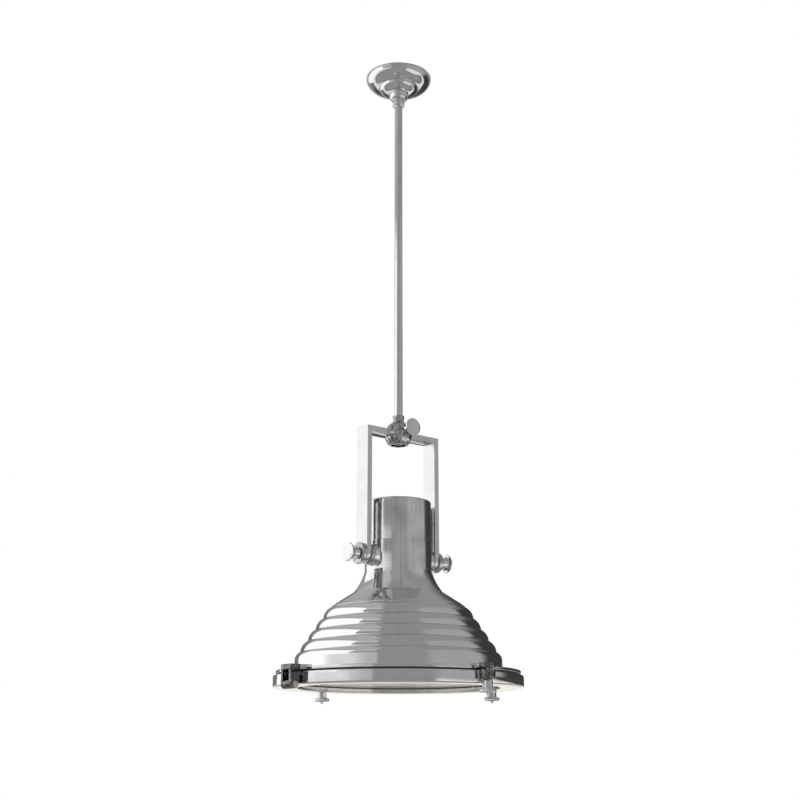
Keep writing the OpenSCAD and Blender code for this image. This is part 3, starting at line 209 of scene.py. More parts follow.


# light and dark are the ends that the marks mix; where a finish gives the two outer colours, they take over
# beyond Outer From as a painted dark reflection
metalFinishes = {
    "brightChrome": {
        "light": (0.80, 0.80, 0.81), "dark": (0.70, 0.70, 0.72), "bump": 0.10,
        "marks": (3.0, 900.0, 14.0, 0.03, 0.12, 0.3),
    },
    # the rim: its lugs and hinge, beyond Outer From, get a painted dark reflection in place of chrome
    "rimChrome": {
        "light": (0.80, 0.80, 0.81), "dark": (0.70, 0.70, 0.72), "bump": 0.10,
        "paintedReflectionLight": (0.32, 0.31, 0.30), "paintedReflectionDark": (0.0, 0.0, 0.0),
        "marks": (9.0, 300.0, 150.0, 0.03, 0.13, 0.3, 0.5, 0.2308),
    },
    "spunChrome": {
        "light": (0.90, 0.90, 0.91), "dark": (0.56, 0.56, 0.58), "bump": 0.30,
        "marks": (36.0, 7.0, 26.0, 0.05, 0.18, 0.6, 1.3),
    },
    "yokeChrome": {
        "light": (0.74, 0.74, 0.75), "dark": (0.64, 0.64, 0.65), "bump": 0.08,
        "marks": (60.0, 200.0, 30.0, 0.12, 0.18, 0.3, 0.2),
    },
    # the hub and rod collar: a satin finish whose tone runs down to black in smudges and lines, a painted
    # dark reflection
    "satinHubPaintedShade": {
        "light": (0.78, 0.78, 0.78), "dark": (0.0, 0.0, 0.0), "bump": 0.5,
        "marks": (12.0, 260.0, 190.0, 0.06, 0.26, 0.8, 1.6),
    },
    # the pressure washers: chrome darkened all over, a painted darker reflection rather than a different
    # metal
    "pivotPaintedShadeChrome": {
        "light": (0.66, 0.66, 0.66), "dark": (0.26, 0.26, 0.26), "bump": 0.2,
        "marks": (9.0, 500.0, 120.0, 0.05, 0.2, 0.5),
    },
    "smallChrome": {
        "light": (0.80, 0.80, 0.81), "dark": (0.66, 0.66, 0.68), "bump": 0.08,
        "marks": (4.0, 300.0, 60.0, 0.03, 0.12, 0.3),
    },
    "zincSteel": {
        "light": (0.56, 0.57, 0.58), "dark": (0.40, 0.40, 0.40), "bump": 0.2,
        "marks": (30.0, 500.0, 90.0, 0.22, 0.45, 0.6),
    },
    "turnedBrass": {
        "light": (0.78, 0.60, 0.28), "dark": (0.55, 0.40, 0.17), "bump": 0.15,
        "marks": (4.0, 900.0, 80.0, 0.16, 0.4, 0.6),
    },
    "glazedPorcelain": {
        "light": (0.86, 0.84, 0.79), "dark": (0.74, 0.72, 0.66), "bump": 0.05, "metallic": 0.0, "coat": 0.5,
        "marks": (8.0, 60.0, 40.0, 0.15, 0.32, 0.3),
    },
    "creamEnamel": {
        "light": (0.86, 0.81, 0.70), "dark": (0.78, 0.72, 0.60), "bump": 0.08, "metallic": 0.0, "coat": 0.25,
        "marks": (12.0, 50.0, 22.0, 0.3, 0.5, 0.4),
    },
    "blackRubber": {
        "light": (0.025, 0.025, 0.027), "dark": (0.06, 0.06, 0.062), "bump": 0.3, "metallic": 0.0,
        "marks": (60.0, 260.0, 120.0, 0.55, 0.8, 0.8),
    },
}
materials = {name: makeMetal(name, finish) for name, finish in metalFinishes.items()}


def makeGlass(name, colour, rough, transmission, mark):
    # pressed or frosted glass: the marks only change its roughness and its normal, and hardly its colour
    marks = (mark, mark, mark, rough, rough + 0.08, 0.3)
    material, tree, shader, marks = markedMaterial(name, marks, 0.06, 0.0006)
    feed(tree, shader.inputs["Base Color"],
         shadedBase(tree, marks["Tone"], colour, tuple(c * 0.94 for c in colour)))
    shader.inputs["Transmission Weight"].default_value = transmission
    shader.inputs["IOR"].default_value = 1.5
    return material


materials["clearLens"] = makeGlass("clearLens", (0.97, 0.95, 0.90), 0.12, 0.85, 30.0)
materials["frostedBulb"] = makeGlass("frostedBulb", (0.96, 0.95, 0.92), 0.45, 0.35, 60.0)
print("materials made:", len(materials))

slotMaterials = {
    "chrome": "smallChrome",
    "chrome_casting": "brightChrome",
    "plated_steel": "zincSteel",
    "brass": "turnedBrass",
    "white_plastic": "glazedPorcelain",
    "cream_enamel": "creamEnamel",
    "black_rubber": "blackRubber",
    "frosted_glass": "frostedBulb",
    "lens_glass": "clearLens",
}


def dressFrame():
    slots = {row["node"]: row["material_slot"] for row in frame["record"]["subparts"]}
    for name, obj in frame["nodes"].items():
        for place in obj.material_slots:
            place.material = materials[slotMaterials[slots[name]]]


dressFrame()


# placing and mesh helpers

def shifted(x, y, z):
    return Matrix.Translation((x * mm, y * mm, z * mm))


def rotated(degrees, axis="Z"):
    return Matrix.Rotation(math.radians(degrees), 4, axis)


def bakeModifiers(obj):
    bpy.context.view_layer.update()
    graph = bpy.context.evaluated_depsgraph_get()
    mesh = bpy.data.meshes.new_from_object(obj.evaluated_get(graph))
    obj.modifiers.clear()
    obj.data = mesh
    return obj


def settle(obj, sharpDeg=32.0):
    work = bmesh.new()
    work.from_mesh(obj.data)
    bmesh.ops.remove_doubles(work, verts=work.verts, dist=weldDistance)
    bmesh.ops.dissolve_degenerate(work, edges=work.edges, dist=1e-6)
    bmesh.ops.recalc_face_normals(work, faces=work.faces)
    work.to_mesh(obj.data)
    work.free()
    for face in obj.data.polygons:
        face.use_smooth = True
    obj.data.set_sharp_from_angle(angle=math.radians(sharpDeg))
    return obj


def meshObject(name, verts, edges=(), faces=()):
    mesh = bpy.data.meshes.new(name)
    mesh.from_pydata([Vector(v) for v in verts], list(edges), list(faces))
    obj = bpy.data.objects.new(name, mesh)
    scene.collection.objects.link(obj)
    return obj


def finishPiece(obj, material, body, nodes=(), matrix=None):
    if matrix is not None:
        obj.data.transform(matrix)
    obj.data.materials.clear()
    obj.data.materials.append(materials[material])
    for face in obj.data.polygons:
        face.material_index = 0
    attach(obj, body)
    if nodes:
        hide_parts(*nodes)
    return obj


def rounded(points, steps=5):
    # points are (r, z) or (r, z, fillet); a fillet becomes an arc
    line = []
    for i, point in enumerate(points):
        here = Vector(point[:2])
        fillet = point[2] if len(point) > 2 else 0
        if not fillet or i in (0, len(points) - 1):
            line.append(here)
            continue
        before = (Vector(points[i - 1][:2]) - here)
        after = (Vector(points[i + 1][:2]) - here)
        half = before.angle(after) / 2
        reach = min(fillet / math.tan(half), before.length * 0.49, after.length * 0.49)
        a = here + before.normalized() * reach
        b = here + after.normalized() * reach
        radius = reach * math.tan(half)
        centre = here + (before.normalized() + after.normalized()).normalized() * (radius / math.sin(half))
        fromA, fromB = a - centre, b - centre
        whole = fromA.angle_signed(fromB)
        for k in range(steps + 1):
            turn = -whole * k / steps
            cos, sin = math.cos(turn), math.sin(turn)
            line.append(centre + Vector((fromA.x * cos - fromA.y * sin, fromA.x * sin + fromA.y * cos)))
    return [(p.x, p.y) for p in line]


# geometry trees

def geometryTree(name, inputs):
    tree = bpy.data.node_groups.new(name, "GeometryNodeTree")
    socketOn(tree, "Geometry", "INPUT", "NodeSocketGeometry")
    for label, kind, value in inputs:
        socketOn(tree, label, "INPUT", kind, value)
    socketOn(tree, "Geometry", "OUTPUT", "NodeSocketGeometry")
    return tree, addNode(tree, "NodeGroupInput").outputs, mathsIn(tree)


def finishTree(tree, geometry, material):
    real = addNode(tree, "GeometryNodeRealizeInstances", {0: geometry})
    paint = addNode(tree, "GeometryNodeSetMaterial", {"Geometry": real.outputs[0], "Material": material})
    addNode(tree, "NodeGroupOutput", {0: paint.outputs[0]})
    return tree


def aroundAxis(tree, radius, angle, height):
    do = mathsIn(tree)
    return joinXyz(tree, do("MULTIPLY", radius, do("COSINE", angle)),
                   do("MULTIPLY", radius, do("SINE", angle)), height)


def lathe(tree, put, rows, radius, height, angle):
    # turns a grid of rows by segments round Z: radius and height come from the caller
    across = mathsIn(tree)("ADD", put["Segments"], 1.0)
    grid = addNode(tree, "GeometryNodeMeshGrid", {"Vertices X": across, "Vertices Y": rows})
    move = addNode(tree, "GeometryNodeSetPosition", {
        "Geometry": grid.outputs["Mesh"], "Position": aroundAxis(tree, radius, angle, height)})
    weld = addNode(tree, "GeometryNodeMergeByDistance", {
        "Geometry": move.outputs[0], "Distance": weldDistance})
    return finishTree(tree, weld.outputs[0], put["Material"])


def pointCount(tree, geometry):
    size = addNode(tree, "GeometryNodeAttributeDomainSize", {0: geometry}, component="MESH")
    return size.outputs["Point Count"]


def gridPlace(tree, rows):
    # row number and angle of a grid point, before it is moved
    do = mathsIn(tree)
    here = splitXyz(tree, addNode(tree, "GeometryNodeInputPosition").outputs[0])
    row = do("ROUND", do("MULTIPLY", do("ADD", here["Y"], 0.5), do("SUBTRACT", rows, 1.0)))
    return row, do("MULTIPLY", do("ADD", here["X"], 0.5), 2 * math.pi)


def sampleLine(tree, geometry, row):
    here = addNode(tree, "GeometryNodeInputPosition").outputs[0]
    sample = addNode(tree, "GeometryNodeSampleIndex", {"Geometry": geometry, "Value": here, "Index": row},
                     data_type="FLOAT_VECTOR", domain="POINT")
    point = splitXyz(tree, sample.outputs[0])
    return point["X"], point["Z"]


def makeTurnedTree():
    # a profile line turned round Z, with optional flutes on whatever lies beyond a radius
    tree, put, do = geometryTree("turnedPiece", (
        ("Segments", "NodeSocketInt", 192), ("Flutes", "NodeSocketInt", 0),
        ("Flute Depth", "NodeSocketFloat", 0.0), ("Flute From", "NodeSocketFloat", 1.0),
        ("Material", "NodeSocketMaterial", None)))
    rows = pointCount(tree, put["Geometry"])
    row, angle = gridPlace(tree, rows)
    radius, height = sampleLine(tree, put["Geometry"], row)
    wave = do("ABSOLUTE", do("COSINE", do("MULTIPLY", angle, put["Flutes"])))
    dip = do("MULTIPLY", do("POWER", wave, 0.6), put["Flute Depth"])
    rim = do("GREATER_THAN", radius, put["Flute From"])
    return lathe(tree, put, rows, do("SUBTRACT", radius, do("MULTIPLY", dip, rim)), height, angle)


def makeShadeTree():
    # the shade: lines above and below from the profile, and between them ribs that follow one rule
    tree, put, do = geometryTree("ribbedShade", (
        ("Segments", "NodeSocketInt", 256), ("Rows Above", "NodeSocketInt", 0),
        ("Rib Count", "NodeSocketInt", 4), ("Rib Steps", "NodeSocketInt", 14),
        ("First Radius", "NodeSocketFloat", 0.126), ("Top Height", "NodeSocketFloat", 0.0),
        ("Rib Growth", "NodeSocketFloat", 0.0138), ("Rib Pitch", "NodeSocketFloat", 0.0205),
        ("Material", "NodeSocketMaterial", None)))
    ribRows = do("MULTIPLY", put["Rib Count"], put["Rib Steps"])
    rows = do("ADD", pointCount(tree, put["Geometry"]), ribRows)
    row, angle = gridPlace(tree, rows)
    inRibs = do("SUBTRACT", row, put["Rows Above"])
    above = do("LESS_THAN", inRibs, -0.5)
    below = do("GREATER_THAN", inRibs, do("SUBTRACT", ribRows, 0.5))
    lineRow = do("SUBTRACT", row, do("MULTIPLY", below, ribRows))
    lineRadius, lineHeight = sampleLine(tree, put["Geometry"], lineRow)
    rib = do("FLOOR", do("DIVIDE", do("ADD", inRibs, 0.5), put["Rib Steps"]))
    step = do("SUBTRACT", inRibs, do("MULTIPLY", rib, put["Rib Steps"]))
    share = do("DIVIDE", do("ADD", step, 1.0), put["Rib Steps"])
    growth, pitch = put["Rib Growth"], put["Rib Pitch"]
    squares = do("ADD", do("MULTIPLY", growth, growth), do("MULTIPLY", pitch, pitch))
    bend = do("DIVIDE", squares, do("MULTIPLY", growth, 2.0))
    wide = do("ARCCOSINE", do("SUBTRACT", 1.0, do("DIVIDE", growth, bend)))
    swing = do("MULTIPLY", wide, do("SUBTRACT", 1.0, share))
    foot = do("ADD", rib, 1.0)
    footRadius = do("MULTIPLY_ADD", foot, growth, put["First Radius"])
    footHeight = do("SUBTRACT", put["Top Height"], do("MULTIPLY", foot, pitch))
    ribRadius = do("MULTIPLY_ADD", bend, do("SUBTRACT", do("COSINE", swing), 1.0), footRadius)
    ribHeight = do("MULTIPLY_ADD", bend, do("SINE", swing), footHeight)
    outside = do("MAXIMUM", above, below)
    inside = do("SUBTRACT", 1.0, outside)
    radius = do("ADD", do("MULTIPLY", lineRadius, outside), do("MULTIPLY", ribRadius, inside))
    height = do("ADD", do("MULTIPLY", lineHeight, outside), do("MULTIPLY", ribHeight, inside))
    return lathe(tree, put, rows, radius, height, angle)


def makeRingTree():
    # copies of one piece round the lamp's axis, such as the screws of a ring
    tree, put, do = geometryTree("ringOfPieces", (
        ("Piece", "NodeSocketObject", None), ("Count", "NodeSocketInt", 6),
        ("Radius", "NodeSocketFloat", 0.1), ("Height", "NodeSocketFloat", 0.0),
        ("Turn", "NodeSocketFloat", 0.0), ("Material", "NodeSocketMaterial", None)))
    number = addNode(tree, "GeometryNodeInputIndex").outputs[0]
    angle = do("ADD", put["Turn"], do("DIVIDE", do("MULTIPLY", number, 2 * math.pi), put["Count"]))
    spots = addNode(tree, "GeometryNodePoints", {
        "Count": put["Count"], "Position": aroundAxis(tree, put["Radius"], angle, put["Height"])})
    source = addNode(tree, "GeometryNodeObjectInfo", {"Object": put["Piece"]})
    copies = addNode(tree, "GeometryNodeInstanceOnPoints", {
        "Points": spots.outputs[0], "Instance": source.outputs["Geometry"],
        "Rotation": joinXyz(tree, 0.0, 0.0, do("MULTIPLY", number, 1.3))})
    return finishTree(tree, copies.outputs[0], put["Material"])


turnedTree, shadeTree, ringTree = makeTurnedTree(), makeShadeTree(), makeRingTree()


def runTree(obj, tree, values):
    modifier = obj.modifiers.new(tree.name, "NODES")
    modifier.node_group = tree
    for item in tree.interface.items_tree:
        if item.item_type == "SOCKET" and item.in_out == "INPUT" and item.name in values:
            modifier[item.identifier] = values[item.name]
    return bakeModifiers(obj)


def turned(name, line, material, segments=192, flutes=0, fluteDepth=0.0, fluteFrom=1.0):
    # line is in millimetres, from rounded() or a plain list of (r, z)
    verts = [(r * mm, 0, z * mm) for r, z in line]
    obj = meshObject(name, verts, [(i, i + 1) for i in range(len(verts) - 1)])
    return settle(runTree(obj, turnedTree, {
        "Segments": segments, "Flutes": flutes, "Flute Depth": fluteDepth * mm,
        "Flute From": fluteFrom * mm, "Material": materials[material]}))


def turnedPiece(name, line, look, body, slot, node, matrix=None, **shape):
    return finishPiece(turned(name, line, look, **shape), look, body, [node], matrix)


def closed(line):
    return line + [line[0]]


def bevelEdges(obj, width, angleDeg=40):
    edge = obj.modifiers.new("edge", "BEVEL")
    edge.width = width * mm
    edge.segments = 3
    edge.limit_method = "ANGLE"
    edge.angle_limit = math.radians(angleDeg)
    return bakeModifiers(obj)


def outline(name, points, depth, matrix, bevel=0.8):
    # an outline in millimetres, raised by depth along its own Z and then placed
    count = len(points)
    verts = [(x * mm, y * mm, z) for z in (0, depth * mm) for x, y in points]
    faces = [tuple(range(count - 1, -1, -1)), tuple(range(count, 2 * count))]
    faces += [(i, (i + 1) % count, count + (i + 1) % count, count + i) for i in range(count)]
    obj = meshObject(name, verts, (), faces)
    if bevel:
        bevelEdges(obj, bevel)
    obj.data.transform(matrix)
    return obj


def combine(target, others, operation="UNION"):
    for other in others:
        step = target.modifiers.new("join", "BOOLEAN")
        step.operation = operation
        step.solver = "EXACT"
        step.object = other
    bakeModifiers(target)
    for other in others:
        bpy.data.objects.remove(other)
    return settle(target)


def arc(cx, cy, r, fromDeg, toDeg, steps=24):
    turns = [math.radians(fromDeg + (toDeg - fromDeg) * k / steps) for k in range(steps + 1)]
    return [(cx + r * math.cos(a), cy + r * math.sin(a)) for a in turns]


circleSides = 48


def circle(x, r):
    return arc(x, 0, r, 0, 360 - 360 / circleSides, circleSides - 1)


def band(fromX, toX, half):
    return [(fromX, -half), (toX, -half), (toX, half), (fromX, half)]


print("helpers ready")

# the ceiling end
canopySizes = Sizes(radius=68.0, depth=50.0, radii=(1, 0.6, 0.3, 0.19), drops=(0, 0.44, 0.69, 1),
                    wall=1.2, hole=8.3, steps=16)


def makeCanopy(size):
    tiers = [(size.radius * r, -size.depth * z) for r, z in zip(size.radii, size.drops)]

    def tierLine(inset):
        line = []
        for p, q in zip(tiers, tiers[1:]):
            run, fall = p[0] - q[0] - inset, p[1] - q[1] - inset
            for k in range(size.steps + 1):
                a = math.radians(90 * k / size.steps)
                line.append((q[0] + run * math.cos(a), p[1] - fall * math.sin(a)))
        return line

    line = tierLine(0) + [(size.hole, -size.depth), (size.hole, -size.depth + size.wall)]
    line += tierLine(size.wall)[::-1]
    turnedPiece("canopyShell", closed(line), "smallChrome", "canopy_assembly", "chrome", "canopy")


def makeCollar(bore=8.05):
    low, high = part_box("canopy_collar")
    r, top, foot = high.x / mm, high.z / mm, low.z / mm
    line = rounded([(bore, top), (r, top, 0.8), (r, foot + 5.6, 0.5), (r - 0.9, foot + 5.1, 0.3),
                    (r, foot + 4.5, 0.5), (r, foot, 1.8), (bore, foot)])
    turnedPiece("canopyCollarTurned", closed(line), "smallChrome", "canopy_assembly", "chrome",
                "canopy_collar", segments=128)


def makeRod(wall=2):
    low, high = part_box("rod")
    r, top, foot = high.x / mm, high.z / mm, low.z / mm
    line = [(r, top), (r, foot), (r - wall, foot), (r - wall, top)]
    turnedPiece("hangingRod", closed(line), "smallChrome", "hanger", "chrome", "rod", segments=96)


makeCanopy(canopySizes)
makeCollar()
makeRod()
print("ceiling end done")

# the swivel hub
hubSizes = Sizes(radius=26.5, stemBore=6.05, cupBore=14.0, rimWidth=3.5, collarRadius=11.5, cupFloor=2.0,
                 knobSeat=-25.4, seatRadius=7.6, seatDepth=6, slotReach=60, slotHalf=16.85, domeSteps=32,
                 cupSteps=24)
panKnobSizes = Sizes(disc=34, neck=17, base=14, waist=11.5, thick=5.5, dome=2.2)
tiltKnobSizes = Sizes(disc=35, neck=20, base=22, waist=19, thick=5.5, dome=2.2)
yokeSizes = Sizes(strip=10.5, width=33.5, half=88.5, edge=0.7, edgeDeg=40)
sides = ((-1, "left"), (1, "right"))


def makeHub(size, strip):
    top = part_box("yoke")[1].z / mm
    mid = top - strip / 2
    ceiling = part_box("hub_upper")[1].z / mm
    rise = (ceiling - mid) / math.sqrt(1 - (size.collarRadius / size.radius) ** 2)
    line = [(size.stemBore, mid - strip / 2),
            (size.radius * math.sqrt(1 - (strip / 2 / rise) ** 2), mid - strip / 2)]
    for k in range(size.domeSteps + 1):
        r = size.radius + (size.collarRadius - size.radius) * k / size.domeSteps
        line.append((r, mid + rise * math.sqrt(max(0, 1 - (r / size.radius) ** 2))))
    line.append((size.stemBore, ceiling))
    upper = turned("hubDome", closed(line), "satinHubPaintedShade", 128)
    slot = outline("slot", band(-size.slotReach, size.slotReach, size.slotHalf), strip + 1,
                   shifted(0, 0, top - strip - 1), 0)
    low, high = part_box("pan_knob")
    seat = Matrix.Translation((0, size.knobSeat * mm, (low.z + high.z) / 2))
    face = outline("face", circle(0, size.seatRadius), size.seatDepth, seat @ rotated(90, "X"), 0)
    combine(upper, [slot, face], "DIFFERENCE")
    finishPiece(upper, "satinHubPaintedShade", "yoke_assembly", ["hub_upper"])

    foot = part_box("hub_cup")[0].z / mm
    rim = size.cupBore + size.rimWidth
    depth = (mid - foot) / math.sqrt(1 - (rim / size.radius) ** 2)
    line = [(size.stemBore, mid - strip / 2)]
    start = size.radius * math.sqrt(1 - (strip / 2 / depth) ** 2)
    for k in range(size.cupSteps + 1):
        r = start + (rim - start) * k / size.cupSteps
        line.append((r, mid - depth * math.sqrt(1 - (r / size.radius) ** 2)))
    line += [(size.cupBore, foot), (size.cupBore, mid - strip / 2 - size.cupFloor),
             (size.stemBore, mid - strip / 2 - size.cupFloor)]
    turnedPiece("hubCupTurned", closed(line), "satinHubPaintedShade", "yoke_assembly", "chrome", "hub_cup", segments=128)


def makeEndCollar():
    low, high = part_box("rod_end_collar")
    r = high.x / mm
    line = rounded([(6.05, low.z / mm), (r, low.z / mm, 0.4), (r - 1.2, low.z / mm + 4, 1.5),
                    (r - 0.6, high.z / mm - 3.2, 0.6), (r, high.z / mm - 2.4, 0.6), (r, high.z / mm, 0.8),
                    (8.02, high.z / mm)])
    turnedPiece("rodCollar", closed(line), "satinHubPaintedShade", "hanger", "chrome", "rod_end_collar", segments=96)


def knobLine(disc, neck, base, waist, thick, dome, flare=0.78, steps=18, domeSteps=12):
    line = [(0, 0), (base / 2, 0)]
    for k in range(1, steps + 1):
        s = k / steps
        line.append((waist / 2 + (base - waist) / 2 * (1 - s) ** 3 + (disc / 2 * flare - waist / 2) * s ** 4,
                     neck * s))
    line += [(disc / 2, neck, 1.2), (disc / 2, neck + thick - dome, 0.9)]
    for k in range(1, domeSteps):
        s = 1 - k / domeSteps
        line.append((disc / 2 * s - 0.001, neck + thick - dome * s ** 2))
    return rounded(line + [(0, neck + thick)])


def makeKnobs(pan, tilt):
    low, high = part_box("pan_knob")
    tip = Matrix.Translation((0, low.y + (pan.neck + pan.thick) * mm, (low.z + high.z) / 2))
    turnedPiece("panKnobTurned", knobLine(**pan), "smallChrome", "pan_knob_body", "chrome", "pan_knob",
                tip @ rotated(90, "X"), segments=128)
    reach = (tilt.neck + tilt.thick) * mm
    for side, label in sides:
        low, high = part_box(label + "_tilt_knob")
        x = (low.x + reach) if side < 0 else (high.x - reach)
        tip = Matrix.Translation((x, 0, (low.z + high.z) / 2))
        turnedPiece(label + "TiltKnob", knobLine(**tilt), "smallChrome", label + "_knob_body", "chrome",
                    label + "_tilt_knob", tip @ rotated(side * 90, "Y"), segments=128)


makeHub(hubSizes, yokeSizes.strip)
makeEndCollar()
makeKnobs(panKnobSizes, tiltKnobSizes)
print("hub and knobs done")


# the yoke and its pivots

def makeYoke(size):
    low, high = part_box("yoke")
    top = high.z / mm
    half, thick, wide = size.half, size.strip, size.width
    leg = [(wide / 2, top), (-wide / 2, top)] + arc(0, low.z / mm + wide / 2, wide / 2, 180, 360, 40)
    legs = [outline("leg", leg, thick, shifted(x, 0, 0) @ rotated(90) @ rotated(90, "X"), 0)
            for x in (-half, half - thick)]
    bar = outline("bar", band(-half + 1, half - 1, wide / 2), thick, shifted(0, 0, top - thick), 0)
    yoke = combine(legs[0], [legs[1], bar])
    yoke.name = "yokeStrip"
    settle(bevelEdges(yoke, size.edge, size.edgeDeg))
    finishPiece(yoke, "yokeChrome", "yoke_assembly", ["yoke"])


def makePivotPieces():
    for side, label in sides:
        for kind, look, slot, segments in (("pressure_washer", "pivotPaintedShadeChrome", "chrome", 128),
                                           ("friction_bush", "zincSteel", "plated_steel", 96)):
            node = label + "_" + kind
            low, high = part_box(node)
            inner, outer = sorted(abs(x) / mm for x in (low.x, high.x))
            wide = (high.x - low.x) / mm
            if kind == "pressure_washer":
                line = rounded([(10.05, 0.04), (20, 0.04, 0.6), (20, outer - inner, 2.2),
                                (13.5, outer - inner, 0.6), (12.5, outer - inner - 0.8, 0.4),
                                (10.05, outer - inner - 0.8)], 7)
            else:
                line = rounded([(10.02, 0), (19.2, 0, 0.4), (19.2, wide / 2 - 0.5, 0.3),
                                (18.6, wide / 2, 0.3), (19.2, wide / 2 + 0.5, 0.3),
                                (19.2, wide, 0.4), (10.02, wide)])
            name = label + kind.title().replace("_", "")
            place = Matrix.Translation((side * inner * mm, 0, (low.z + high.z) / 2)) @ rotated(side * 90, "Y")
            turnedPiece(name, closed(line), look, "head", slot, node, place, segments=segments)


makeYoke(yokeSizes)
makePivotPieces()
print("yoke done")

# cap, neck and bell
capSizes = Sizes(radius=62.2, height=79.5, wall=2.0, edge=4.5)
neckSizes = Sizes(radius=63.2, wall=3.2, height=55.0, pivotRise=27.0, bossRadius=20.0,
                  bossFace=71.0, spigot=59.9)
bellSizes = Sizes(height=39.0, foot=84.0, wall=2.0, bow=2.2, steps=28)
neckHeight = 213.5
capHeight = neckHeight + neckSizes.height
capSlots = Sizes(count=3, firstDeg=-74, half=3.5, inside=4, outside=3, height=5)


def makeCap(size, slots):
    r, top = size.radius, capHeight + size.height
    wall = size.wall
    line = rounded([(r - wall, capHeight), (r, capHeight, 0.5), (r, top, size.edge), (0.0, top)], 10)
    inner = rounded([(0.0, top - wall), (r - wall, top - wall, size.edge - wall),
                     (r - wall, capHeight + 0.01)], 6)
    cap = turned("capShell", closed(line + inner), "spunChrome", 256)
    cuts = []
    for k in range(slots.count):
        turn = rotated(slots.firstDeg + 360 / slots.count * k)
        cuts.append(outline("slot", band(r - slots.inside, r + slots.outside, slots.half), slots.height,
                            turn @ shifted(0, 0, capHeight - 1), 0))
    combine(cap, cuts, "DIFFERENCE")
    finishPiece(cap, "spunChrome", "head", ["cap"], headPlace)


def makeNeck(size):
    r, inner, z = size.radius, size.radius - size.wall, neckHeight
    top, spigot = capHeight, size.spigot
    line = rounded([(inner, z), (r, z, 0.6), (r, top, 0.5), (spigot, top, 0.2), (spigot, top + 8, 0.5),
                    (spigot - 2.6, top + 8, 0.5), (spigot - 2.6, top - 14), (spigot - 8.6, top - 14),
                    (spigot - 8.6, top - 19), (inner, top - 20)])
    neck = turned("neckCasting", closed(line), "spunChrome", 256)
    bosses = []
    for side in (-1, 1):
        start = inner + 1.2
        line = rounded([(10.02, start), (size.bossRadius + 1.2, start), (size.bossRadius, start + 5, 2.5),
                        (size.bossRadius, size.bossFace, 0.8), (10.02, size.bossFace)])
        boss = turned("boss", closed(line), "spunChrome", 128)
        boss.data.transform(shifted(0, 0, z + size.pivotRise) @ rotated(side * 90, "Y"))
        bosses.append(boss)
    combine(neck, bosses)
    finishPiece(neck, "spunChrome", "head", ["neck_casting"], headPlace)


def makeBell(size):
    top, foot = neckSizes.radius + 0.5, size.foot
    line = []
    for k in range(size.steps + 1):
        s = k / size.steps
        sag = size.bow * s * (1 - s)
        line.append((top + (foot - top) * s - 4 * sag, neckHeight - size.height * s - 2 * sag))
    inner = [(r - size.wall, z) for r, z in line[1:-2]]
    z = neckHeight - size.height
    line += [(72, z), (72, z + size.wall)] + inner[::-1] + [(60, neckHeight)]
    turnedPiece("bellShell", closed(line), "spunChrome", "head", "chrome_casting", "bell", headPlace,
                segments=256)


makeCap(capSizes, capSlots)
makeNeck(neckSizes)
makeBell(bellSizes)
print("cap, neck and bell done")

# the shade
shadeSizes = Sizes(hole=70.0, top=174.5, bellFoot=84.0, wall=1.5,
                   crest=(112.0, 156.5), corner=(126.0, 147.5), firstRadius=126.0, ribTop=145.5,
                   growth=13.8, pitch=20.5, ribs=4, steps=16,
                   crestSteps=12, skirtRadius=191.3, skirtTop=49.5, foot=30.2, lip=8.0)


def quarterRib(p, q, steps):
    run, fall = q[0] - p[0], p[1] - q[1]
    bend = (run * run + fall * fall) / (2 * run)
    wide = math.acos(1 - run / bend)
    swings = [wide * (1 - k / steps) for k in range(1, steps + 1)]
    return [(q[0] - bend + bend * math.cos(a), q[1] + bend * math.sin(a)) for a in swings]


def makeShade(size):
    above = [(size.hole, size.top), (size.bellFoot, size.top)]
    p, c, q = Vector(size.crest), Vector(size.corner), Vector((size.firstRadius, size.ribTop))
    for k in range(size.crestSteps + 1):
        s = k / size.crestSteps
        spot = (1 - s) ** 2 * p + 2 * s * (1 - s) * c + s * s * q
        above.append((spot.x, spot.y))
    last = (size.firstRadius + size.ribs * size.growth, size.ribTop - size.ribs * size.pitch)
    below = quarterRib(last, (size.skirtRadius, size.skirtTop), size.steps)
    below += [(size.skirtRadius, size.foot), (size.skirtRadius - size.lip, size.foot)]
    verts = [(r * mm, 0, z * mm) for r, z in above + below]
    shade = meshObject("ribbedShell", verts, [(i, i + 1) for i in range(len(verts) - 1)])
    runTree(shade, shadeTree, {
        "Segments": 256, "Rows Above": len(above), "Rib Count": size.ribs, "Rib Steps": size.steps,
        "First Radius": size.firstRadius * mm, "Top Height": size.ribTop * mm,
        "Rib Growth": size.growth * mm, "Rib Pitch": size.pitch * mm, "Material": materials["brightChrome"]})
    settle(shade)
    wall = shade.modifiers.new("wall", "SOLIDIFY")
    wall.thickness = size.wall * mm
    wall.offset = -1
    bakeModifiers(shade)
    finishPiece(shade, "brightChrome", "head", ["shade"], headPlace)


makeShade(shadeSizes)
print("shade done")

# rim: flange ring, bezel, lugs, hinge
rimSizes = Sizes(flangeIn=178.0, flangeOut=225.0, flangeFoot=24.3, flangeTop=30.2,
                 bezelOut=230.0, bezelTop=21.0, bezelIn=209.0, lensOpen=186.0, glassStep=201.5,
                 glassTop=14.5, lugWidth=28.0, lugRadius=237.0, flangeLugTop=33.3,
                 bezelLugFoot=5.9, bezelLugTop=22.4, hinge=243.0, knuckle=8.5, knuckleWidth=18.0,
                 cheekFrom=9.4, cheek=5.5, spotFace=9.6, webIn=206, flangeHole=5, bezelHole=4.06,
                 lugTurns=(-90, 0, 90))


def lugOutline(size, inner):
    half = size.lugWidth / 2
    return [(inner, half), (inner, -half)] + arc(size.lugRadius, 0, half, -90, 90, 32)


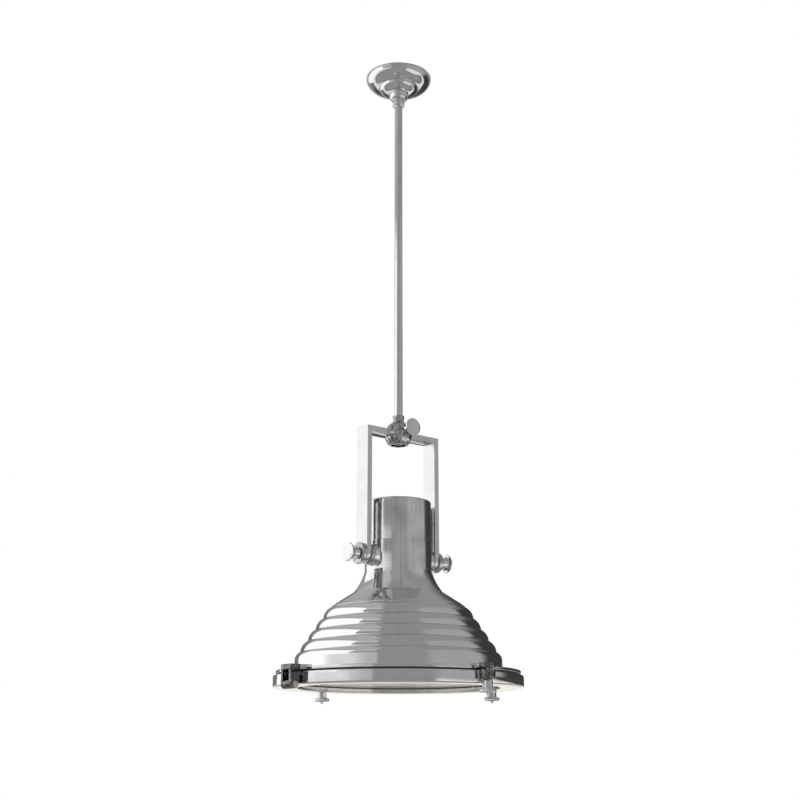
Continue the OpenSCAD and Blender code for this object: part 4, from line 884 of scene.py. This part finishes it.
def makeFlange(size):
    low, lugHeight = size.flangeFoot, size.flangeLugTop - size.flangeFoot
    line = rounded([(size.flangeIn, low), (size.flangeOut, low, 0.8), (size.flangeOut, size.flangeTop, 1.4),
                    (size.flangeIn, size.flangeTop)])
    ring = turned("flangeTurned", closed(line), "rimChrome", 256)
    parts, holes = [], []
    for turnDeg in size.lugTurns:
        turn = rotated(turnDeg)
        parts.append(outline("lug", lugOutline(size, size.webIn), lugHeight, turn @ shifted(0, 0, low), 1.2))
        holes.append(outline("hole", circle(size.lugRadius, size.flangeHole), 20,
                             turn @ shifted(0, 0, low - 5), 0))
    half, reach = size.cheekFrom + size.cheek, size.knuckle
    x = -size.hinge
    parts.append(outline("bracket", band(x - reach, -size.webIn, half), lugHeight, shifted(0, 0, low), 0.6))
    cheek = [(x - reach, size.flangeLugTop - 1)] + arc(x, 0, reach, 180, 360, 24)
    cheek += [(x + reach + 1.5, low - 2), (x + reach + 3, size.flangeLugTop - 1)]
    for y in (half, -size.cheekFrom):
        parts.append(outline("cheek", cheek, size.cheek, shifted(0, y, 0) @ rotated(90, "X"), 0.5))
    combine(ring, parts)
    combine(ring, holes, "DIFFERENCE")
    finishPiece(ring, "rimChrome", "head", ["flange_ring"], headPlace)


def makeBezel(size):
    out, top, low = size.bezelOut, size.bezelTop, size.bezelLugFoot
    line = rounded([(size.lensOpen, 0, 0.01), (out, 0, 2.0), (out, top, 1.4), (size.bezelIn, top, 0.5),
                    (size.bezelIn, size.glassTop), (size.glassStep, size.glassTop),
                    (size.glassStep, seatHeight), (size.lensOpen, seatHeight, 0.6)])
    line[0] = (size.lensOpen + 0.8, 0)
    line.append((size.lensOpen, 0.8))
    ring = turned("bezelTurned", closed(line), "rimChrome", 256)
    parts, holes = [], []
    for turnDeg in size.lugTurns:
        turn = rotated(turnDeg)
        parts.append(outline("lug", lugOutline(size, out - 3), size.bezelLugTop - low,
                             turn @ shifted(0, 0, low), 1.2))
        for name, r, depth in (("hole", size.bezelHole, 40), ("spot", size.spotFace, low + 5)):
            holes.append(outline(name, circle(size.lugRadius, r), depth, turn @ shifted(0, 0, -5), 0))
    x, reach, wide = -size.hinge, size.knuckle, size.knuckleWidth
    web = arc(x, 0, reach, 90, 270, 24) + [(-out + 3, -reach + 7.5), (-out + 3, 15), (x + 2, 15)]
    parts.append(outline("knuckle", web, wide, shifted(0, wide / 2, 0) @ rotated(90, "X"), 0.5))
    combine(ring, parts)
    combine(ring, holes, "DIFFERENCE")
    finishPiece(ring, "rimChrome", "bezel_assembly", ["bezel"], headPlace)


def makeGasket():
    line = rounded([(211, 21.3), (222, 21.3, 0.6), (222, 24.3, 0.6), (211, 24.3)])
    turnedPiece("rimGasket", closed(line), "blackRubber", "head", "black_rubber", "rim_gasket", headPlace)


lensSizes = Sizes(foot=9.5, top=14.5, radius=200, flatIn=190, ringFrom=189, ringStep=3.1, rings=60,
                  ringDepth=0.5)


def makeLens(size):
    # pressed glass with shallow rings on its inner face
    line = [(0.0, size.foot)] + rounded([(100, size.foot), (size.radius, size.foot, 0.6),
                                         (size.radius, size.top, 0.6), (size.flatIn, size.top)])
    for k in range(size.rings):
        dip = size.ringDepth * (1 - math.cos(k * math.pi)) / 2
        line.append((size.ringFrom - k * size.ringStep, size.top - dip))
    line.append((0.0, size.top))
    turnedPiece("lensPressed", line, "clearLens", "bezel_assembly", "lens_glass", "lens_glass", headPlace)


def makeThumbscrews(reach, turns):
    line = rounded([(0, -20.05), (3, -20.05, 0.6), (3, -16.5), (14.2, -15.6, 0.6), (15, -14.8, 0.4),
                    (15, -10.0, 0.4), (14.2, -9.1, 0.6), (9.6, -9.05, 0.6), (9, -8, 0.8), (9, 3.0, 0.8),
                    (8.4, 5.6, 0.3), (3.96, 5.64), (3.96, 20.4), (3.42, 20.4), (3.42, 30.2, 0.5), (0, 31.0)])
    for turnDeg, label in zip(turns, ("front", "right", "back")):
        a = math.radians(turnDeg)
        place = Matrix.Translation((reach * math.cos(a), reach * math.sin(a), footZ))
        turnedPiece(label + "Thumbscrew", line, "smallChrome", label + "_screw_body", "chrome",
                    label + "_thumbscrew", place, segments=180, flutes=36, fluteDepth=0.45, fluteFrom=13.5)


makeFlange(rimSizes)
makeBezel(rimSizes)
makeGasket()
makeLens(lensSizes)
makeThumbscrews(rimSizes.lugRadius * mm, rimSizes.lugTurns)
print("rim done")

# inside
reflectorSizes = Sizes(hole=52.0, rim=176.4, rise=126.0, foot=30.2, lip=182.8, wall=1.0,
                       power=0.5, steps=48)
bulbSizes = Sizes(radius=30.0, length=104.0, top=207.7, neckShare=0.42)
screwRings = {
    "lensRingScrews": Sizes(radius=205.25, height=17.0, turnDeg=30, body="bezel_assembly",
                            node="lens_ring_screws"),
    "flangeScrews": Sizes(radius=186.55, height=24.3, turnDeg=15, body="head",
                          node="flange_screws", grown=1.25),
}


def makeReflector(size):
    line = []
    for k in range(size.steps + 1):
        s = k / size.steps
        line.append((size.hole + (size.rim - size.hole) * s * (1 + (1 - s) * size.power),
                     size.foot + size.rise * (1 - s)))
    inner = [(r - size.wall, z - size.wall * (z - size.foot) / size.rise) for r, z in line[:-1]]
    line = line[:-1] + [(size.rim + 2.4, size.foot + 1), (size.lip, size.foot + 1),
                        (size.lip, size.foot), (size.rim, size.foot)]
    turnedPiece("innerReflector", closed(line + inner[::-1]), "creamEnamel", "head", "cream_enamel",
                "reflector", headPlace)


def makeBulb(size, steps=20):
    r, top = size.radius, size.top
    neck = r * size.neckShare
    ball = top - size.length + r
    line = [(0.0, top), (neck, top)]
    line += [(neck + (r - neck) * (1 - math.cos(math.pi * k / steps)) / 2, top - (top - ball) * k / steps)
             for k in range(1, steps + 1)]
    bends = [math.radians(90 / steps * k) for k in range(1, steps)]
    line += [(r * math.cos(a), ball - r * math.sin(a)) for a in bends] + [(0.0, ball - r)]
    turnedPiece("bulbEnvelope", line, "frostedBulb", "head", "frosted_glass", "bulb_glass", headPlace,
                segments=96)


def makeScrews(rings):
    line = rounded([(0, 2.0), (1.6, 1.85), (2.6, 1.2, 0.3), (2.8, 0, 0.2), (1.5, 0), (1.5, -6.2), (0, -6.2)])
    screw = turned("panScrew", line, "zincSteel", 24)
    combine(screw, [outline("slot", band(-4, 4, 0.35), 2, shifted(0, 0, 1.1), 0)], "DIFFERENCE")
    for name, size in rings.items():
        if "grown" in size:
            screw.data.transform(Matrix.Scale(size.grown, 4) @ rotated(180, "X"))
        ring = meshObject(name, [(0, 0, 0)])
        runTree(ring, ringTree, {
            "Piece": screw, "Count": 6, "Radius": size.radius * mm, "Height": size.height * mm,
            "Turn": math.radians(size.turnDeg), "Material": materials["zincSteel"]})
        finishPiece(settle(ring), "zincSteel", size.body, [size.node], headPlace)
    bpy.data.objects.remove(screw)


makeReflector(reflectorSizes)
makeBulb(bulbSizes)
makeScrews(screwRings)
print("inside done")

# studio: a dome of soft panels that only shows in reflections, soft lamps, a pale floor and a white world
tentSizes = Sizes(radius=2.2, floor=-1.1, centreHeight=0.15, slices=48, ringDeg=6, grey=0.33,
                  floorTint=(1.0, 0.95, 0.88), tintFrom=-0.10, tintTo=-0.04, tintFoot=-0.30)
# turn is counted to the left from straight behind the light; right, left, low and high are degrees from there
panelColumns = ("turn", "right", "left", "low", "high", "softAcross", "softUp", "value")
tentPanels = [dict(zip(panelColumns, row)) for row in (
    (88, 60, 60, 44, 76, 0.5, 0.4, 0.51),
    (15, 11, 11, 26, 60, 0.1, 0.25, 0.47),
    (-110, 38, 32, -14, 44, 0.2, 0.2, 0.43),
    (-42, 33, 34, -16, 36, 0.2, 0.3, 0.05),
    (28, 22, 15, -14, 14, 0.08, 0.12, 0.2),
    (5, 20, 14, -2, 20, 0.1, 0.05, 0.08),
    (140, 16, 15, 25, 42, 0.04, 0.05, 0.6),
    (128, 34, 30.5, -10, 12, 0.03, 0.03, 0.55),
    (110, 30, 28, -10, 12, 0.45, 0.03, 0.9),
    (95, 54, 31, -10, 43, 0.03, 0.05, 1.28),
    (112, 14, 24, -10, 6, 0.15, 0.03, 0.88),
    (-62, 26, 26, -4.5, 0.5, 0.08, 0.015, 0.06),
    (45, 60, 60, -15, -4.5, 0.03, 0.02, 0.95),
    (-45, 60, 60, -15, -4.5, 0.03, 0.02, 0.95),
    (-112, 35, 30, -40, -7, 0.1, 0.05, 0.95),
)]
# places are metres to the right of the middle of the head, towards the camera and up
lampSetups = {
    "keyLamp": Sizes(place=(-2.2, 1.6, 1.4), size=1.6, watts=60),
    "fillLamp": Sizes(place=(2.4, 2.0, 0.4), size=1.6, watts=25),
    "topLamp": Sizes(place=(0, 0.4, 2.6), size=2.0, watts=40),
}
surroundings = Sizes(worldColour=(0.55, 0.55, 0.56, 1), floorDrop=1.15, floorReach=9.0,
                     floorColour=(0.86, 0.86, 0.86, 1), floorRough=0.9, floorGlow=0.8)
back, right = towards(cameraSetup)
centre = Vector((0, 0, footZ + tentSizes.centreHeight))


def makeSoftPanel():
    # lays one soft-edged panel over what lies behind it, as seen from the middle of the dome
    tree = bpy.data.node_groups.new("softPanel", "ShaderNodeTree")
    do = mathsIn(tree)
    for name in ("Place", "Ahead", "Side"):
        socketOn(tree, name, "INPUT", "NodeSocketVector")
    for name in ("Right", "Left", "Low", "High", "Soft Across", "Soft Up", "Value", "Behind"):
        socketOn(tree, name, "INPUT", "NodeSocketFloat")
    socketOn(tree, "Value", "OUTPUT", "NodeSocketFloat")
    put = addNode(tree, "NodeGroupInput").outputs

    def along(direction):
        dot = addNode(tree, "ShaderNodeVectorMath", {0: put["Place"], 1: direction}, operation="DOT_PRODUCT")
        return dot.outputs["Value"]

    ahead = do("MAXIMUM", along(put["Ahead"]), 0.01)
    across = do("DIVIDE", along(put["Side"]), ahead)
    up = do("DIVIDE", splitXyz(tree, put["Place"])[2], ahead)
    mask = do("GREATER_THAN", ahead, 0.02)
    for value, low, high, soft in ((across, "Right", "Left", "Soft Across"), (up, "Low", "High", "Soft Up")):
        for edge, sign in ((low, 1.0), (high, -1.0)):
            fade = addNode(tree, "ShaderNodeMapRange", {
                "Value": do("MULTIPLY", do("SUBTRACT", value, put[edge]), sign),
                "From Min": do("MULTIPLY", put[soft], -1.0), "From Max": put[soft]},
                interpolation_type="SMOOTHSTEP")
            mask = do("MULTIPLY", mask, fade.outputs[0])
    step = do("SUBTRACT", put["Value"], put["Behind"])
    addNode(tree, "NodeGroupOutput", {0: do("MULTIPLY_ADD", step, mask, put["Behind"])})
    return tree


def makeDome(name, size):
    count = size.slices
    rows = [(size.radius * math.cos(a), max(size.floor, size.radius * math.sin(a)))
            for a in (math.radians(d) for d in range(-90, 91, size.ringDeg))]
    verts = [(0, 0, size.floor)]
    for r, z in rows[1:-1]:
        turns = [t * math.pi / (count / 2) for t in range(count)]
        verts += [(r * math.cos(a), r * math.sin(a), z) for a in turns]
    verts.append((0, 0, size.radius))
    last = len(verts) - 1
    around = [(t, (t + 1) % count) for t in range(count)]
    faces = [(0, 1 + b, 1 + a) for a, b in around]
    for k in range(len(rows) - 3):
        low, high = 1 + count * k, 1 + count * (k + 1)
        faces += [(low + a, low + b, high + b, high + a) for a, b in around]
    faces += [(last, last - count + a, last - count + b) for a, b in around]
    return meshObject(name, [Vector(v) + centre for v in verts], (), faces)


def emptied(owner):
    owner.use_nodes = True
    owner.node_tree.nodes.clear()
    return owner.node_tree


def makeTent(size, panels):
    tent = makeDome("panelTent", size)
    material = bpy.data.materials.new("panelTent")
    tent.data.materials.append(material)
    tree = emptied(material)
    do = mathsIn(tree)
    place = addNode(tree, "ShaderNodeVectorMath", {
        0: addNode(tree, "ShaderNodeTexCoord").outputs["Object"], 1: centre}, operation="SUBTRACT").outputs[0]
    group = makeSoftPanel()
    value = size.grey
    straight = math.atan2(-back.y, -back.x)
    for panel in panels:
        a = straight + math.radians(panel["turn"])
        inputs = {"Place": place, "Ahead": (math.cos(a), math.sin(a), 0),
                  "Side": (-math.sin(a), math.cos(a), 0), "Soft Across": panel["softAcross"],
                  "Soft Up": panel["softUp"], "Value": panel["value"], "Behind": value}
        for name, sign in (("Right", -1), ("Left", 1), ("Low", 1), ("High", 1)):
            inputs[name] = sign * math.tan(math.radians(panel[name.lower()]))
        value = addNode(tree, "ShaderNodeGroup", inputs, node_tree=group).outputs[0]
    rise = do("DIVIDE", splitXyz(tree, place)[2], size.radius)
    low = addNode(tree, "ShaderNodeMapRange", {
        "Value": rise, "From Min": size.tintFrom, "From Max": size.tintTo})
    foot = do("LESS_THAN", rise, size.tintFoot)
    hue = mixed(tree, do("MAXIMUM", low.outputs[0], foot), (*size.floorTint, 1), (1, 1, 1, 1))
    glow = addNode(tree, "ShaderNodeEmission", {"Color": hue, "Strength": value})
    addNode(tree, "ShaderNodeOutputMaterial", {"Surface": glow.outputs[0]})
    material.cycles.emission_sampling = "NONE"
    tent.visible_camera = tent.visible_diffuse = tent.visible_shadow = False
    tent.visible_transmission = tent.visible_volume_scatter = False


def makeLamp(name, setup):
    data = bpy.data.lights.new(name, "AREA")
    data.size = setup.size
    data.energy = setup.watts
    lamp = bpy.data.objects.new(name, data)
    across, ahead, up = setup.place
    lamp.location = centre + right * across + back * ahead + Vector((0, 0, up))
    lamp.rotation_euler = (centre - lamp.location).to_track_quat("-Z", "Y").to_euler()
    lamp.visible_glossy = False
    scene.collection.objects.link(lamp)


def throughPaths(tree):
    # 1 where the camera looks straight at it, in a reflection or through glass
    do = mathsIn(tree)
    paths = addNode(tree, "ShaderNodeLightPath").outputs
    seen = do("MAXIMUM", paths["Is Camera Ray"], paths["Is Glossy Ray"])
    return do("MAXIMUM", seen, paths["Is Transmission Ray"])


def makeWorld(size):
    world = bpy.data.worlds.new("studioWorld")
    scene.world = world
    tree = emptied(world)
    plain = addNode(tree, "ShaderNodeBackground", {"Color": size.worldColour})
    white = addNode(tree, "ShaderNodeBackground", {"Color": (1, 1, 1, 1)})
    mix = addNode(tree, "ShaderNodeMixShader", {
        0: throughPaths(tree), 1: plain.outputs[0], 2: white.outputs[0]})
    addNode(tree, "ShaderNodeOutputWorld", {"Surface": mix.outputs[0]})


def makeFloor(size):
    z, reach = footZ - size.floorDrop, size.floorReach
    floor = meshObject("paleFloor", [(x, y, z) for x, y in band(-reach, reach, reach)], (), [(0, 1, 2, 3)])
    material = bpy.data.materials.new("paleFloor")
    material.use_nodes = True
    floor.data.materials.append(material)
    tree = material.node_tree
    shader = tree.nodes["Principled BSDF"]
    shader.inputs["Base Color"].default_value = size.floorColour
    shader.inputs["Roughness"].default_value = size.floorRough
    glow = addNode(tree, "ShaderNodeEmission")
    share = mathsIn(tree)("MULTIPLY", throughPaths(tree), size.floorGlow)
    mix = addNode(tree, "ShaderNodeMixShader", {0: share, 1: shader.outputs[0], 2: glow.outputs[0]})
    feed(tree, tree.nodes["Material Output"].inputs["Surface"], mix.outputs[0])


makeTent(tentSizes, tentPanels)
for name, setup in lampSetups.items():
    makeLamp(name, setup)
makeWorld(surroundings)
makeFloor(surroundings)
print("studio done")
